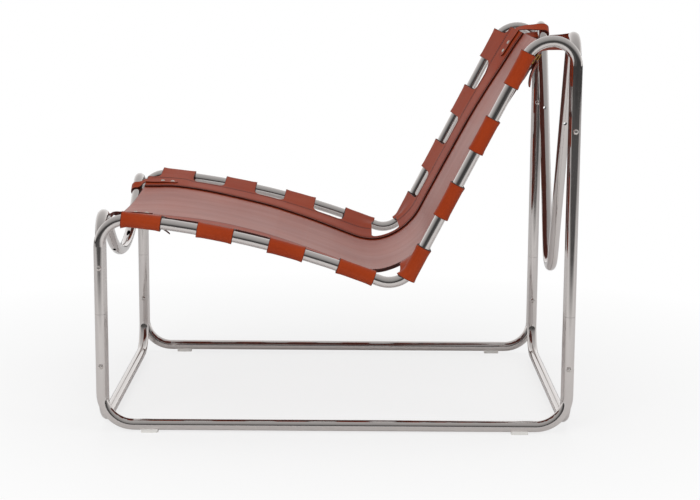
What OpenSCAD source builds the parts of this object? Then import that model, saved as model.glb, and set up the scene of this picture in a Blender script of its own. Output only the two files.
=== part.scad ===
// Lounge chair: two bent tube side frames and two cross frames bolted leg to leg,
// with a leather sling looped round the side frames and buckled to the cross frames.
// X is across the chair with the sitter's left at plus X, the front is at minus Y, Z is up.
// The origin is on the floor, under the middle of the chair.

/* [Frame size] */
// Distance between the middles of the two side frames
side_spacing = 700; // [600:5:800]
// Height of the middle of the floor rails
rail_height = 15.5; // [15:0.5:20]
// Height of the seat rail's front corner, where the leg and rail lines meet
front_corner_height = 428.9; // [410:0.5:450]
// Height of the middle of the side frame's top
crown_height = 770.1; // [740:0.5:800]
// Fall of the seat rail at the front, in degrees
seat_front_fall = 6; // [4:0.5:8]
// Fall of the seat rail at the rear, in degrees
seat_rear_fall = 20.3; // [17:0.1:23]
// Lean of the back rail from upright, in degrees
back_lean = 27.2; // [24:0.1:29]
// Distance from the front leg to the corner where the seat and back lines meet
seat_back_reach = 587.2; // [560:0.1:620]
// Share of that distance at which the seat rail's front and rear lines meet
bow_share = 0.5046; // [0.48:0.0001:0.53]
// Distance from the corner of the back line and the top line to the rear leg
crown_length = 81.14; // [75:0.01:95]

/* [Tube] */
// Outer diameter of every frame tube
tube_diameter = 22; // [20:0.5:24]
// Wall of every frame tube
tube_wall = 2; // [1.5:0.1:3]
// Bend radius of the four floor corners of a side frame
floor_bend_r = 62; // [50:1:75]
// Bend radius at the front of the seat
front_bend_r = 53; // [45:1:58]
// Share of the seat rail's rear line that the bow between its two lines takes
seat_bow_share = 0.7402; // [0.5:0.0001:0.75]
// Bend radius where the seat meets the back
seat_back_bend_r = 53; // [45:1:70]
// Bend radius at the rear of the top
crown_rear_r = 46.5; // [40:0.5:50]

/* [Cross frames] */
// Gap between the side legs and the cross frame legs
leg_gap = 0.3; // [0.2:0.1:1]
// Bend radius of the floor corners of a cross frame
cross_floor_bend_r = 62; // [50:1:75]
// Height of the middle of the front cross frame's shoulders
front_shoulder_height = 422.5; // [410:0.5:440]
// Bend radius of the front shoulders
front_shoulder_r = 40; // [34:1:44]
// Height of the middle of the front cross frame's dip
front_dip_height = 310; // [300:1:325]
// Bend radius of the front dip
front_dip_r = 350; // [320:1:380]
// Height of the middle of the rear cross frame's shoulders
rear_shoulder_height = 775; // [760:1:790]
// Bend radius of the rear shoulders
rear_shoulder_r = 38; // [34:1:44]
// Height of the middle of the rear cross frame's dip
rear_dip_height = 276; // [260:1:290]
// Bend radius of the rear dip
rear_dip_r = 55; // [45:1:65]

/* [Joints of the frame] */
// Height of the seam between the lower and upper tubes
seam_height = 237; // [220:1:250]
// Open line left at each seam
seam_gap = 0.4; // [0.2:0.1:1]
// Length of the spigot inside each seam
spigot_length = 70; // [50:1:90]
// Wall of a spigot
spigot_wall = 2.5; // [2:0.1:4]
// Height of the lower leg bolts
lower_bolt_height = 134; // [120:1:150]
// Height of the upper bolts in the front legs
front_bolt_height = 329; // [315:1:345]
// Height of the upper bolts in the rear legs
rear_bolt_height = 599; // [570:1:620]
// Diameter of a leg bolt
bolt_diameter = 6; // [5:0.5:6]
// Diameter of a bolt's head and of its nut
bolt_head_diameter = 10.5; // [10:0.5:12]
// Height of a bolt's head and of its nut above the tube
bolt_head_height = 3.4; // [3:0.1:4]
// Width across the flats of the hexagon recess
bolt_recess = 3.2; // [2.5:0.1:3.5]

/* [Glides] */
// Length of a glide under the floor rail
glide_length = 33; // [25:1:40]
// Width of a glide
glide_width = 15; // [12:0.5:18]
// Distance from the leg to the middle of a glide
glide_reach = 93; // [85:1:120]
// Diameter of the peg that holds a glide in the rail
glide_peg_diameter = 6; // [5:0.5:7]
// Height of the peg above the rail's lower wall
glide_peg_height = 5; // [4:0.5:7]

/* [Sling] */
// Thickness of the sling leather
leather = 3; // [2.5:0.1:3.4]
// Distance from the rail's middle to the inner edge of the side strip
strip_reach = 133; // [125:1:150]
// Distance from the rail's middle to the stitch row at the foot of the tabs
tab_foot_reach = 68; // [60:1:72]
// Width that the panel runs on past the tab stitch row
panel_tuck = 6; // [3:0.5:8]
// Clearance between a tab's loop and the tube
tab_clearance = 0.8; // [0.8:0.1:1.2]
// Length of a tab along the rail
tab_length = 72; // [60:1:80]
// Distance from the end of the front bend back to the first tab's front edge
first_tab_lead = 12; // [0:1:15]
// Distance from the last seat tab to the bend between seat and back
seat_tab_lead = 3.38; // [0:0.01:20]
// Reach of the first back tab into the bend between seat and back
back_tab_lead = 21.75; // [10:0.01:32]
// Reach of the last back tab past the start of the top's front bend
top_tab_lead = 15.24; // [0:0.01:20]
// Tabs on the seat rail and on the back rail
tabs_each = 4; // [4]
// Reach of the sling past the first tab
front_overhang = 26; // [20:1:30]
// Reach of the sling past the last tab
top_overhang = 28; // [20:1:32]
// Radius of the sling where the seat meets the back
sling_bend_r = 110; // [90:1:115]
// Drop of the strip's inner edge below the rail's middle at the back
strip_sag = 22; // [15:0.5:25]
// Further drop of the middle of the sling
centre_sag = 8; // [4:0.5:12]
// Width of strip left beside its inner edge at the seat and back corner
corner_strip = 14; // [10:1:25]

/* [Buckle straps] */
// Width of a strap
strap_width = 20; // [18:0.5:22]
// Thickness of a strap
strap_thick = 2.6; // [2.2:0.1:2.6]
// Distance from the rail's middle to the middle of a strap
strap_reach = 105; // [100:1:115]
// Thickness of the chape that holds a buckle
chape_thick = 2.5; // [2:0.1:2.5]
// Distance from the end of the front bend to the front buckle's heel bar
front_heel_place = 14; // [10:1:18]
// Distance from the end of the last tab back to the top buckle's heel bar
top_heel_lead = 20; // [16:1:25]
// Diameter of the buckle's wire
buckle_wire = 3.2; // [2.8:0.1:3.2]
// Distance between the heel bar and the front bar
buckle_length = 20; // [18:0.5:22]
// Clear width inside the buckle
buckle_opening = 22; // [21:0.5:25]
// Diameter of the prong's wire
prong_wire = 2.4; // [2:0.1:2.6]
// Width of the prong's eye on the heel bar
prong_eye_width = 3; // [2.5:0.1:4]
// Running clearance of the prong's eye on the heel bar
prong_clearance = 0.08; // [0.04:0.01:0.1]
// Diameter of a rivet's head
rivet_head = 9; // [7:0.5:10]
// Diameter of a rivet's shank
rivet_shank = 4; // [3:0.5:5]
// Distance between the two rivets of a strap
rivet_pitch = 22; // [20:0.5:24]

/* [Hidden] */

// Roundness of the drawn circles
tube_fn = 48;
fine_fn = 32;
least_bend_fn = 24;
// Depth that a bend's drawn pieces may cut inside the true arc
arc_sag = 0.1;
// Each straight piece reaches a little into its bends, which are drawn this much thinner
joint_reach = 0.2;
joint_step = 0.1;

side_x = side_spacing / 2;
// Corner where the seat and back lines meet, from the front leg and the floor
bow_corner_reach = seat_back_reach * bow_share;
bow_corner_height = front_corner_height - bow_corner_reach * tan(seat_front_fall);
seat_back_height = bow_corner_height - (seat_back_reach - bow_corner_reach) * tan(seat_rear_fall);
leg_spacing = seat_back_reach + (crown_height - seat_back_height) * tan(back_lean) + crown_length;
leg_y = leg_spacing / 2;
tube_r = tube_diameter / 2;
bore_r = tube_r - tube_wall;
cross_x = side_x - tube_diameter - leg_gap;
// One overrun serves every cut
over = 1;
// Smallest gap between leather pieces that lie on each other
lay_gap = 0.1;

// Paths are lists of corners with a bend radius at each inner corner.
// A run is the same path as the tube bender reads it: [straight, radius, turn] steps.
function heading(a, b) = atan2(b[1] - a[1], b[0] - a[0]);
function wrap(a) = a > 180 ? a - 360 : a < -180 ? a + 360 : a;
function unit2(a) = [cos(a), sin(a)];
function turn_at(c, i) = wrap(heading(c[i], c[i + 1]) - heading(c[i - 1], c[i]));
function tangent_len(c, r, i) =
    i == 0 || i == len(c) - 1 ? 0 : r[i - 1] * tan(abs(turn_at(c, i)) / 2);
function run_of(c, r) = [
    for (i = [0:len(c) - 2])
        let (straight = norm(c[i + 1] - c[i]) - tangent_len(c, r, i) - tangent_len(c, r, i + 1))
            i < len(c) - 2 ? [straight, r[i], turn_at(c, i + 1)] : [straight, 0, 0]
];
function arc_len(step) = step[1] * abs(step[2]) * PI / 180;

// Point and heading at a distance along a run
function walk(s, run, p, h, i = 0) =
    let (step = run[i], side = step[2] < 0 ? -1 : 1)
    s <= step[0] || i == len(run) - 1 ? [p + s * unit2(h), h] :
    let (centre = p + step[0] * unit2(h) + step[1] * unit2(h + 90 * side))
    s <= step[0] + arc_len(step) ?
        let (a = side * (s - step[0]) / step[1] * 180 / PI)
            [centre + step[1] * unit2(h + a - 90 * side), h + a] :
    walk(s - step[0] - arc_len(step), run,
        centre + step[1] * unit2(h + step[2] - 90 * side), h + step[2], i + 1);

// Side frame corners, in Y and Z
front_corner = [-leg_y, front_corner_height];
bow_corner = [-leg_y + bow_corner_reach, bow_corner_height];
seat_back_corner = [-leg_y + seat_back_reach, seat_back_height];
crown_corner = [leg_y - crown_length, crown_height];
seat_bow_r =
    seat_bow_share * norm(seat_back_corner - bow_corner) / tan((seat_rear_fall - seat_front_fall) / 2);
// The bend at the front of the top takes all the length that the rear bend leaves
crown_front_r = (crown_length - crown_rear_r) / tan((90 - back_lean) / 2);

lower_side_corners = [
    [-leg_y, seam_height - seam_gap / 2], [-leg_y, rail_height],
    [leg_y, rail_height], [leg_y, seam_height - seam_gap / 2]
];
upper_side_corners = [
    [-leg_y, seam_height + seam_gap / 2], front_corner, bow_corner, seat_back_corner,
    crown_corner, [leg_y, crown_height], [leg_y, seam_height + seam_gap / 2]
];
upper_side_radii = [front_bend_r, seat_bow_r, seat_back_bend_r, crown_front_r, crown_rear_r];
rail_run = run_of(upper_side_corners, upper_side_radii);
// Distance along the side tube from the seam to the end of the front bend
rail_start = rail_run[0][0] + arc_len(rail_run[0]);
function rail_at(s) = walk(s + rail_start, rail_run, upper_side_corners[0], 90);

// The sling's own path: straight on past both ends, and wider at the seat and back corner
sling_start = rail_at(0)[0];
sling_corners = [sling_start, bow_corner, seat_back_corner, crown_corner];
sling_run = run_of(sling_corners, [seat_bow_r, sling_bend_r]);
corner_turn = abs(turn_at(sling_corners, 2));
corner_extra = (sling_bend_r - seat_back_bend_r) * tan(corner_turn / 2);
rail_bend_start = rail_run[1][0] + arc_len(rail_run[1]) + rail_run[2][0];
rail_bend_end = rail_bend_start + arc_len(rail_run[2]);
rail_crown_start = rail_bend_end + rail_run[3][0];
sling_bend_start = rail_bend_start - corner_extra;
sling_bend_end = rail_bend_end + corner_extra;
sling_arc = arc_len(sling_run[1]);
function sling_s(s) =
    s <= sling_bend_start ? s :
    s <= sling_bend_end ?
        sling_bend_start + (s - sling_bend_start) * sling_arc / (sling_bend_end - sling_bend_start) :
    sling_bend_start + sling_arc + s - sling_bend_end;
function sling_at(s) = walk(sling_s(s), sling_run, sling_start, -seat_front_fall);

// Tabs and the ends of the sling, measured along the rail from the end of the front bend
first_back_tab = rail_bend_end - back_tab_lead;
seat_tab_pitch = (rail_bend_start - seat_tab_lead - tab_length + first_tab_lead) / (tabs_each - 1);
back_tab_pitch = (rail_crown_start + top_tab_lead - tab_length - first_back_tab) / (tabs_each - 1);
tab_starts = [
    for (i = [0:tabs_each - 1]) i * seat_tab_pitch - first_tab_lead,
    for (i = [0:tabs_each - 1]) first_back_tab + i * back_tab_pitch
];
last_tab_end = tab_starts[len(tab_starts) - 1] + tab_length;
sling_front = -first_tab_lead - front_overhang;
sling_top = last_tab_end + top_overhang;

// Height of the sling above the rail's middle line, by the distance s along the rail
// and d inwards from it. The shares are of the length to the last tab and of the sag.
tab_top = tube_r + tab_clearance + leather / 2;
sag_shares = [
    [-0.037, 0.64], [-0.01, 0.5], [0.023, 0.28], [0.062, 0.26], [0.106, 0.29], [0.15, 0.38],
    [0.194, 0.44], [0.243, 0.48], [0.308, 0.65], [0.353, 0.76], [0.4, 0.87], [0.446, 0.95],
    [0.473, 1.05], [0.529, 0.8], [0.545, 0.7], [0.6, 0.6], [0.65, 0.62], [0.754, 0.68],
    [0.809, 0.72], [0.845, 0.8], [0.883, 0.92], [0.92, 1.07], [0.94, 1.18], [0.97, 1.28],
    [1.0, 1.4], [1.03, 1.6]
];
function edge_sag(s) = strip_sag * lookup(s / last_tab_end, sag_shares);
function sling_h(s, d) =
    d < strip_reach ? tab_top - (tab_top + edge_sag(s)) * d / strip_reach :
    -edge_sag(s) - centre_sag * (1 - pow((side_x - d) / (side_x - strip_reach), 2));
// A point of the sling on the left side, lifted by k along the sheet's normal
function sling_pt(s, d, k) =
    let (f = sling_at(s), q = f[0] + (sling_h(s, d) + k) * unit2(f[1] + 90))
        [side_x - d, q[0], q[1]];

// A sheet of leather as one closed solid: a grid of [upper, lower] point pairs,
// where keep(i, j) says which cells of the grid are leather and other(i, j) which are
// split along their other diagonal.
module sheet(grid, keep, other = function (i, j) false) {
    ni = len(grid) - 1;
    nj = len(grid[0]) - 1;
    nn = (ni + 1) * (nj + 1);
    points = [
        for (k = [0, 1]) for (i = [0:ni]) for (j = [0:nj]) grid[i][j][k]
    ];
    at = function (i, j) i * (nj + 1) + j;
    has = function (i, j) i >= 0 && i < ni && j >= 0 && j < nj && keep(i, j);
    wall = function (a, b) [[a, b, b + nn], [a, b + nn, a + nn]];
    faces = [
        for (i = [0:ni - 1]) for (j = [0:nj - 1]) if (has(i, j)) each [
            each split(at(i, j), at(i, j + 1), at(i + 1, j + 1), at(i + 1, j), other(i, j)),
            each split(at(i + 1, j) + nn, at(i + 1, j + 1) + nn, at(i, j + 1) + nn, at(i, j) + nn,
                !other(i, j)),
            if (!has(i - 1, j)) each wall(at(i, j + 1), at(i, j)),
            if (!has(i + 1, j)) each wall(at(i + 1, j), at(i + 1, j + 1)),
            if (!has(i, j - 1)) each wall(at(i, j), at(i + 1, j)),
            if (!has(i, j + 1)) each wall(at(i + 1, j + 1), at(i, j + 1))
        ]
    ];
    used = [for (f = faces) each f];
    marks = [for (k = [0:2 * nn - 1]) len(search(k, used)) > 0 ? 1 : 0];
    order = running(marks);
    polyhedron(
        points = [for (k = [0:2 * nn - 1]) if (marks[k] == 1) points[k]],
        faces = [for (f = faces) [for (k = f) order[k] - 1]],
        convexity = 12
    );
}
// Two triangles of a four sided cell, split from its first corner or from its second
function split(a, b, c, d, second) = second ? [[b, c, d], [b, d, a]] : [[a, b, c], [a, c, d]];
function running(v, i = 0, sum = 0, out = []) =
    i == len(v) ? out : running(v, i + 1, sum + v[i], concat(out, [sum + v[i]]));

// Tube sections and runs, with ro and ri as the outer and the bore radius
module ring(ro, ri) {
    difference() {
        circle(r = ro, $fn = tube_fn);
        if (ri > 0) circle(r = ri, $fn = tube_fn);
    }
}
function bend_fn(r) = max(least_bend_fn, ceil(2 * PI * r / sqrt(8 * r * arc_sag)));
// A bend that starts at the origin along plus Y and turns left, or right for a negative turn
module bend(r, turn, ro, ri) {
    translate([turn > 0 ? -r : r, 0, 0])
        rotate([0, 0, turn > 0 ? 0 : 180 + turn])
            rotate_extrude(angle = abs(turn), $fn = bend_fn(r))
                translate([r, 0])
                    rotate(turn > 0 ? 0 : 180) ring(ro - joint_step, ri > 0 ? ri + joint_step : 0);
}
module run_solid(run, ro, ri, i = 0) {
    last = i == len(run) - 1;
    lead = i == 0 ? 0 : joint_reach;
    tail = last ? 0 : joint_reach;
    rotate([-90, 0, 0]) translate([0, 0, -lead]) linear_extrude(run[i][0] + lead + tail) ring(ro, ri);
    if (!last) {
        r = run[i][1];
        turn = run[i][2];
        side = turn < 0 ? -1 : 1;
        translate([0, run[i][0], 0]) {
            bend(r, turn, ro, ri);
            translate([side * (cos(turn) * r - r), abs(sin(turn)) * r, 0])
                rotate([0, 0, turn]) run_solid(run, ro, ri, i + 1);
        }
    }
}
module run_between(corners, radii, ro, ri) {
    translate([corners[0][0], corners[0][1], 0])
        rotate([0, 0, heading(corners[0], corners[1]) - 90])
            run_solid(run_of(corners, radii), ro, ri);
}
module tube(corners, radii) {
    run_between(corners, radii, tube_r, bore_r);
}
module in_side_plane() {
    translate([side_x, 0, 0]) rotate([90, 0, 90]) children();
}
module in_cross_plane(y) {
    translate([0, y, 0]) rotate([90, 0, 0]) children();
}
module both_sides() {
    children();
    mirror([1, 0, 0]) children();
}
module both_ends() {
    children();
    mirror([0, 1, 0]) children();
}

// Leg bolts: [sign of Y, height] of each bolt on one side
front_bolts = [[-1, lower_bolt_height], [-1, front_bolt_height]];
rear_bolts = [[1, lower_bolt_height], [1, rear_bolt_height]];
bolt_hole = bolt_diameter * 1.1;
thread_play = bolt_diameter / 60;
module bolt_holes() {
    for (b = concat(front_bolts, rear_bolts))
        translate([0, b[0] * leg_y, b[1]])
            rotate([0, 90, 0])
                cylinder(d = bolt_hole, h = side_spacing + 2 * tube_diameter, center = true, $fn = fine_fn);
}
module glide_holes() {
    for (e = [-1, 1])
        translate([side_x, e * (leg_y - glide_reach), rail_height - tube_r - over])
            cylinder(d = glide_peg_diameter + thread_play, h = tube_wall + 2 * over, $fn = fine_fn);
}

module floor_rail_tube() {
    color("silver")
    difference() {
        in_side_plane() tube(lower_side_corners, [floor_bend_r, floor_bend_r]);
        bolt_holes();
        glide_holes();
    }
}
module seat_back_tube() {
    color("silver")
    difference() {
        in_side_plane() tube(upper_side_corners, upper_side_radii);
        bolt_holes();
    }
}

// Cross frames: the arms of a cross frame fall from the shoulders to the dip in the middle,
// along the line that touches both bends.
function arm_fall(top, shoulder_r, dip, dip_r) =
    let (
        across = cross_x - shoulder_r,
        rise = (top - shoulder_r) - (dip + dip_r)
    )
    atan2(rise, across) + asin((shoulder_r + dip_r) / norm([across, rise]));
front_fall = arm_fall(front_shoulder_height, front_shoulder_r, front_dip_height, front_dip_r);
rear_fall = arm_fall(rear_shoulder_height, rear_shoulder_r, rear_dip_height, rear_dip_r);
function dip_corner(dip, dip_r, fall) = dip + dip_r - dip_r / cos(fall);
function cross_top_corners(dip, dip_r, fall) =
    let (
        low = dip_corner(dip, dip_r, fall),
        high = low + cross_x * tan(fall),
        seam = seam_height + seam_gap / 2
    )
    [[cross_x, seam], [cross_x, high], [0, low], [-cross_x, high], [-cross_x, seam]];
cross_base_corners = [
    [-cross_x, seam_height - seam_gap / 2], [-cross_x, rail_height],
    [cross_x, rail_height], [cross_x, seam_height - seam_gap / 2]
];
module cross_base_tube(y) {
    color("silver")
    difference() {
        in_cross_plane(y) tube(cross_base_corners, [cross_floor_bend_r, cross_floor_bend_r]);
        bolt_holes();
    }
}
module cross_top_tube(y, shoulder_r, dip, dip_r, fall) {
    color("silver")
    difference() {
        in_cross_plane(y)
            tube(cross_top_corners(dip, dip_r, fall), [shoulder_r, dip_r, shoulder_r]);
        bolt_holes();
    }
}

// Spigots inside the seams of the legs
spigot_clearance = tube_wall / 20;
spigot_r = bore_r - spigot_clearance;
module spigots(x) {
    color("gray")
    both_sides() both_ends()
        translate([x, leg_y, seam_height - spigot_length / 2])
            difference() {
                cylinder(r = spigot_r, h = spigot_length, $fn = tube_fn);
                translate([0, 0, -over])
                    cylinder(r = spigot_r - spigot_wall, h = spigot_length + 2 * over, $fn = tube_fn);
            }
}

// Shares of a head's height where its recess ends and where the shank ends in it
recess_share = 0.6;
bite_share = 0.35;
// A domed head, drawn along plus X from the tube's outer line at the origin
head_seat = tube_r - sqrt(pow(tube_r, 2) - pow(bolt_head_diameter / 2, 2));
// Outline of a dome of radius r and height h on a foot that reaches down by foot
dome_pieces = 6;
function dome_outline(r, h, foot) =
    let (big = (r * r + h * h) / (2 * h), half = asin(r / big))
    concat(
        [[0, -foot], [r, -foot]],
        [
            for (k = [0:dome_pieces])
                let (a = half * (1 - k / dome_pieces))
                [big * sin(a), h - big + big * cos(a)]
        ]
    );
module domed_head() {
    difference() {
        rotate([0, 90, 0])
            rotate_extrude($fn = tube_fn)
                polygon(dome_outline(bolt_head_diameter / 2, bolt_head_height, head_seat + over));
        translate([-tube_r, 0, -bolt_head_diameter])
            cylinder(r = tube_r, h = 2 * bolt_head_diameter, $fn = tube_fn);
        translate([bolt_head_height * recess_share, 0, 0])
            rotate([0, 90, 0])
                cylinder(d = bolt_recess / cos(30), h = bolt_head_height + over, $fn = 6);
    }
}
bolt_out = side_x + tube_r;
bolt_in = cross_x - tube_r;
thread_bite = bolt_head_height * bite_share;
nut_depth = tube_r + thread_bite + thread_play;
module leg_bolts(places) {
    color("gainsboro")
    both_sides()
        for (b = places)
            translate([0, b[0] * leg_y, b[1]]) {
                translate([bolt_out, 0, 0]) domed_head();
                translate([bolt_in - thread_bite, 0, 0])
                    rotate([0, 90, 0])
                        cylinder(d = bolt_diameter, h = bolt_out - bolt_in + 2 * thread_bite, $fn = fine_fn);
            }
}
module leg_nuts(places) {
    color("gainsboro")
    both_sides()
        for (b = places)
            translate([bolt_in, b[0] * leg_y, b[1]])
                difference() {
                    mirror([1, 0, 0]) domed_head();
                    rotate([0, -90, 0]) translate([0, 0, -tube_r])
                        cylinder(d = bolt_diameter + thread_play, h = nut_depth, $fn = fine_fn);
                }
}

// A glide: a saddle between the floor and the rail, held by a peg
glide_height = rail_height - tube_r;
peg_length = glide_height / 2 + tube_wall + glide_peg_height;
module glide(y) {
    color("whitesmoke")
    translate([side_x, y, 0]) {
        difference() {
            translate([-glide_width / 2, -glide_length / 2, 0])
                cube([glide_width, glide_length, glide_height + tube_r / 4]);
            translate([0, 0, rail_height]) rotate([90, 0, 0])
                cylinder(r = tube_r, h = glide_length + 2 * over, center = true, $fn = tube_fn);
        }
        translate([0, 0, glide_height / 2])
            cylinder(d = glide_peg_diameter, h = peg_length, $fn = fine_fn);
    }
}

// Sling panel, under the two side strips
panel_drop = leather + lay_gap;
edge_ease = leather / 5;
strip_rows = [
    tab_foot_reach, (strip_reach - corner_strip + tab_foot_reach) / 2,
    strip_reach - corner_strip, strip_reach
];
middle_pieces = 3;
panel_rows = [
    tab_foot_reach - panel_tuck,
    each strip_rows,
    for (k = [1:middle_pieces]) strip_reach + (side_x - strip_reach) * k / middle_pieces
];
corner_pieces = 8;
near_bend_share = 0.23;
stations = concat(
    [sling_front, (sling_front + tab_starts[0]) / 2],
    [for (i = [0:tabs_each - 1]) each tab_stations(i)],
    [for (k = [1:corner_pieces - 1])
        tab_starts[tabs_each - 1] + tab_length
        + (first_back_tab - tab_starts[tabs_each - 1] - tab_length) * k / corner_pieces],
    [for (i = [tabs_each:2 * tabs_each - 1]) each tab_stations(i)],
    [(sling_top + last_tab_end) / 2, sling_top]
);
// Each tab's two ends and a place between, and the middle of the notch before the next tab.
// In the first tab of the seat and of the back, the place between is near the bend.
function tab_stations(i) = [
    tab_starts[i],
    tab_starts[i] + tab_length * (i % tabs_each == 0 ? near_bend_share : 0.5),
    tab_starts[i] + tab_length,
    if (i != tabs_each - 1 && i != 2 * tabs_each - 1) (tab_starts[i] + tab_length + tab_starts[i + 1]) / 2
];
// The panel's outer edge lies a little lower, clear of the tabs that rise to the rail, and
// under a tab as far below the sling's own line as the tab is there
function at_tab(s) = len([for (t = tab_starts) if (s >= t && s <= t + tab_length) 1]) > 0;
function tab_dip(s) =
    let (
        a = sling_pt(s, tab_foot_reach, 0),
        b = mix(a, loop_pt(s, loop_mid * sin(loop_angles[0]), loop_mid * cos(loop_angles[0])), 0.5),
        c = sling_pt(s, panel_rows[0], 0),
        m = (a[0] - c[0]) / (a[0] - b[0]),
        f = sling_at(s)[1] + 90
    )
    max(0, (c - mix(a, b, m)) * [0, cos(f), sin(f)]);
function edge_drop(s) = edge_ease + (at_tab(s) ? tab_dip(s) : 0);
function panel_pair(s, d) =
    let (low = panel_drop + (d < tab_foot_reach ? edge_drop(s) : 0))
    [sling_pt(s, d, leather / 2 - low), sling_pt(s, d, -leather / 2 - low)];
module sling_panel() {
    nj = len(panel_rows);
    right_pt = function (p) [-p[0], p[1], p[2]];
    grid = [
        for (s = stations) [
            for (d = panel_rows) panel_pair(s, d),
            for (k = [1:nj - 1])
                let (q = panel_pair(s, panel_rows[nj - 1 - k]))
                [right_pt(q[0]), right_pt(q[1])]
        ]
    ];
    color("sienna") sheet(grid, function (i, j) true, function (i, j) j < nj - 1);
}

// Side strip with its tabs, each looped round the rail and back to the stitch row
loop_mid = tube_r + tab_clearance + leather / 2;
loop_angles = [-12:32:180];
strip_cells = 3;
// The loop comes back under the panel, which ends just past the stitch row
return_drop = 2 * (leather + lay_gap) + edge_ease;
// Line that a tab's loop follows: the rail, but straight on where the rail bends away
rail_bend_middle = (rail_bend_start + rail_bend_end) / 2;
function straight_on(from, s) = let (f = rail_at(from)) [f[0] + (s - from) * unit2(f[1]), f[1]];
function loop_line(s) =
    s < 0 ? straight_on(0, s) :
    s > rail_crown_start ? straight_on(rail_crown_start, s) :
    s > rail_bend_middle && s < rail_bend_end ? straight_on(rail_bend_end, s) :
    rail_at(s);
// The loop is as tall as it has to be to hold the rail there: how far the inner side of a
// bend of radius r lies off the straight line at a distance t from the bend's end
function bend_rise(r, t) = r - tube_r - sqrt(max(0, pow(r - tube_r, 2) - t * t));
function rail_off(s) =
    s < 0 ? -bend_rise(front_bend_r, s) :
    s > rail_crown_start ? -bend_rise(crown_front_r, s - rail_crown_start) :
    s > rail_bend_middle && s < rail_bend_end ? bend_rise(seat_back_bend_r, rail_bend_end - s) : 0;
function loop_pt(s, x_off, h_off) =
    let (
        f = loop_line(s),
        h = h_off + (h_off > 0 ? max(0, rail_off(s)) : min(0, rail_off(s))),
        q = f[0] + h * unit2(f[1] + 90)
    )
    [side_x + x_off, q[0], q[1]];
function mix(a, b, k) = a * (1 - k) + b * k;
function strip_pair(s, d) = [sling_pt(s, d, leather / 2), sling_pt(s, d, -leather / 2)];
function loop_pair(s, a) = [
    loop_pt(s, (loop_mid + leather / 2) * sin(a), (loop_mid + leather / 2) * cos(a)),
    loop_pt(s, (loop_mid - leather / 2) * sin(a), (loop_mid - leather / 2) * cos(a))
];
function under_pair(s, k) =
    let (
        low = loop_pt(s, 0, -loop_mid),
        foot = sling_pt(s, tab_foot_reach, -return_drop),
        f = loop_line(s)[1] + 90,
        up = [0, cos(f), sin(f)] * leather / 2
    )
    [mix(low, foot, k) - up, mix(low, foot, k) + up];
function strip_column(s) = [
    for (k = [3:-1:0]) strip_pair(s, strip_rows[k]),
    [for (k = [0, 1]) mix(strip_pair(s, tab_foot_reach)[k], loop_pair(s, loop_angles[0])[k], 0.5)],
    for (a = loop_angles) loop_pair(s, a),
    under_pair(s, 0.5),
    under_pair(s, 1)
];
function in_tab(s) = len([for (t = tab_starts) if (s > t && s < t + tab_length) 1]) > 0;
function in_corner(s) = s > tab_starts[tabs_each - 1] + tab_length && s < first_back_tab;
module sling_strip() {
    // The rows run outwards, so the lower point comes first
    grid = [for (s = stations) [for (p = strip_column(s)) [p[1], p[0]]]];
    keep = function (i, j)
        let (mid = (stations[i] + stations[i + 1]) / 2)
        in_tab(mid) || (in_corner(mid) ? j < 1 : j < strip_cells);
    color("chocolate") sheet(grid, keep);
}

// What lies on or under the sling follows the drawn sheet, which is straight between stations.
// A sling_frame is the place and the across, along and up directions of such a piece.
function station_before(s) = max([0, for (i = [0:len(stations) - 2]) if (stations[i] <= s) i]);
function drawn_pt(s, d, k) =
    let (i = station_before(s), m = (s - stations[i]) / (stations[i + 1] - stations[i]))
    mix(sling_pt(stations[i], d, k), sling_pt(stations[i + 1], d, k), m);
function unit3(v) = v / norm(v);
function sling_frame(s, lift, s_from, s_to) =
    let (
        along = unit3(drawn_pt(s_to, strap_reach, 0) - drawn_pt(s_from, strap_reach, 0)),
        side = drawn_pt(s, strap_reach - strap_width, 0) - drawn_pt(s, strap_reach, 0),
        across = unit3(side - along * (side * along)),
        up = cross(across, along)
    )
    [drawn_pt(s, strap_reach, 0) + up * lift, across, along, up];
// A point of a frame, which flip as minus one turns half round its up direction
function in_frame(f, v, flip) = f[0] + f[1] * v[0] * flip + f[2] * v[1] * flip + f[3] * v[2];
module at_frame(f, flip) {
    multmatrix([
        [f[1][0] * flip, f[2][0] * flip, f[3][0], f[0][0]],
        [f[1][1] * flip, f[2][1] * flip, f[3][1], f[0][1]],
        [f[1][2] * flip, f[2][2] * flip, f[3][2], f[0][2]]
    ]) children();
}

// Buckles lie under the sling. In the buckle's own frame the heel bar runs along X
// through the origin, the front bar is at plus Y, and Z points up to the sling.
wire_r = buckle_wire / 2;
fold_gap = 0.3;
fold_r = wire_r + fold_gap + chape_thick / 2;
// Gap between the drawn sling and what lies on it, which lets their facets differ
strap_gap = 0.35;
under_sling = leather / 2 + lay_gap + leather + strap_gap;
rivet_foot = rivet_head / 10;
buckle_drop = under_sling + rivet_foot + chape_thick / 2 + fold_r;
// The strap passes above the front bar, through the frame and below the heel bar
strap_above = wire_r + lay_gap + strap_thick / 2;
strap_below = fold_r + chape_thick / 2 + strap_gap + strap_thick / 2;
// The prong points towards the cross frame
function toward(front) = front ? -1 : 1;
function heel_place(front) = front ? front_heel_place : last_tab_end - top_heel_lead;
function buckle_frame(front) =
    let (s = heel_place(front), bar = s + toward(front) * buckle_length)
    sling_frame(s, -buckle_drop, min(s, bar), max(s, bar));
function buckle_pt(front, v) = in_frame(buckle_frame(front), v, toward(front));
function buckle_dir(front, v) = buckle_pt(front, v) - buckle_pt(front, [0, 0, 0]);
module at_buckle(front) {
    at_frame(buckle_frame(front), toward(front)) children();
}

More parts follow.
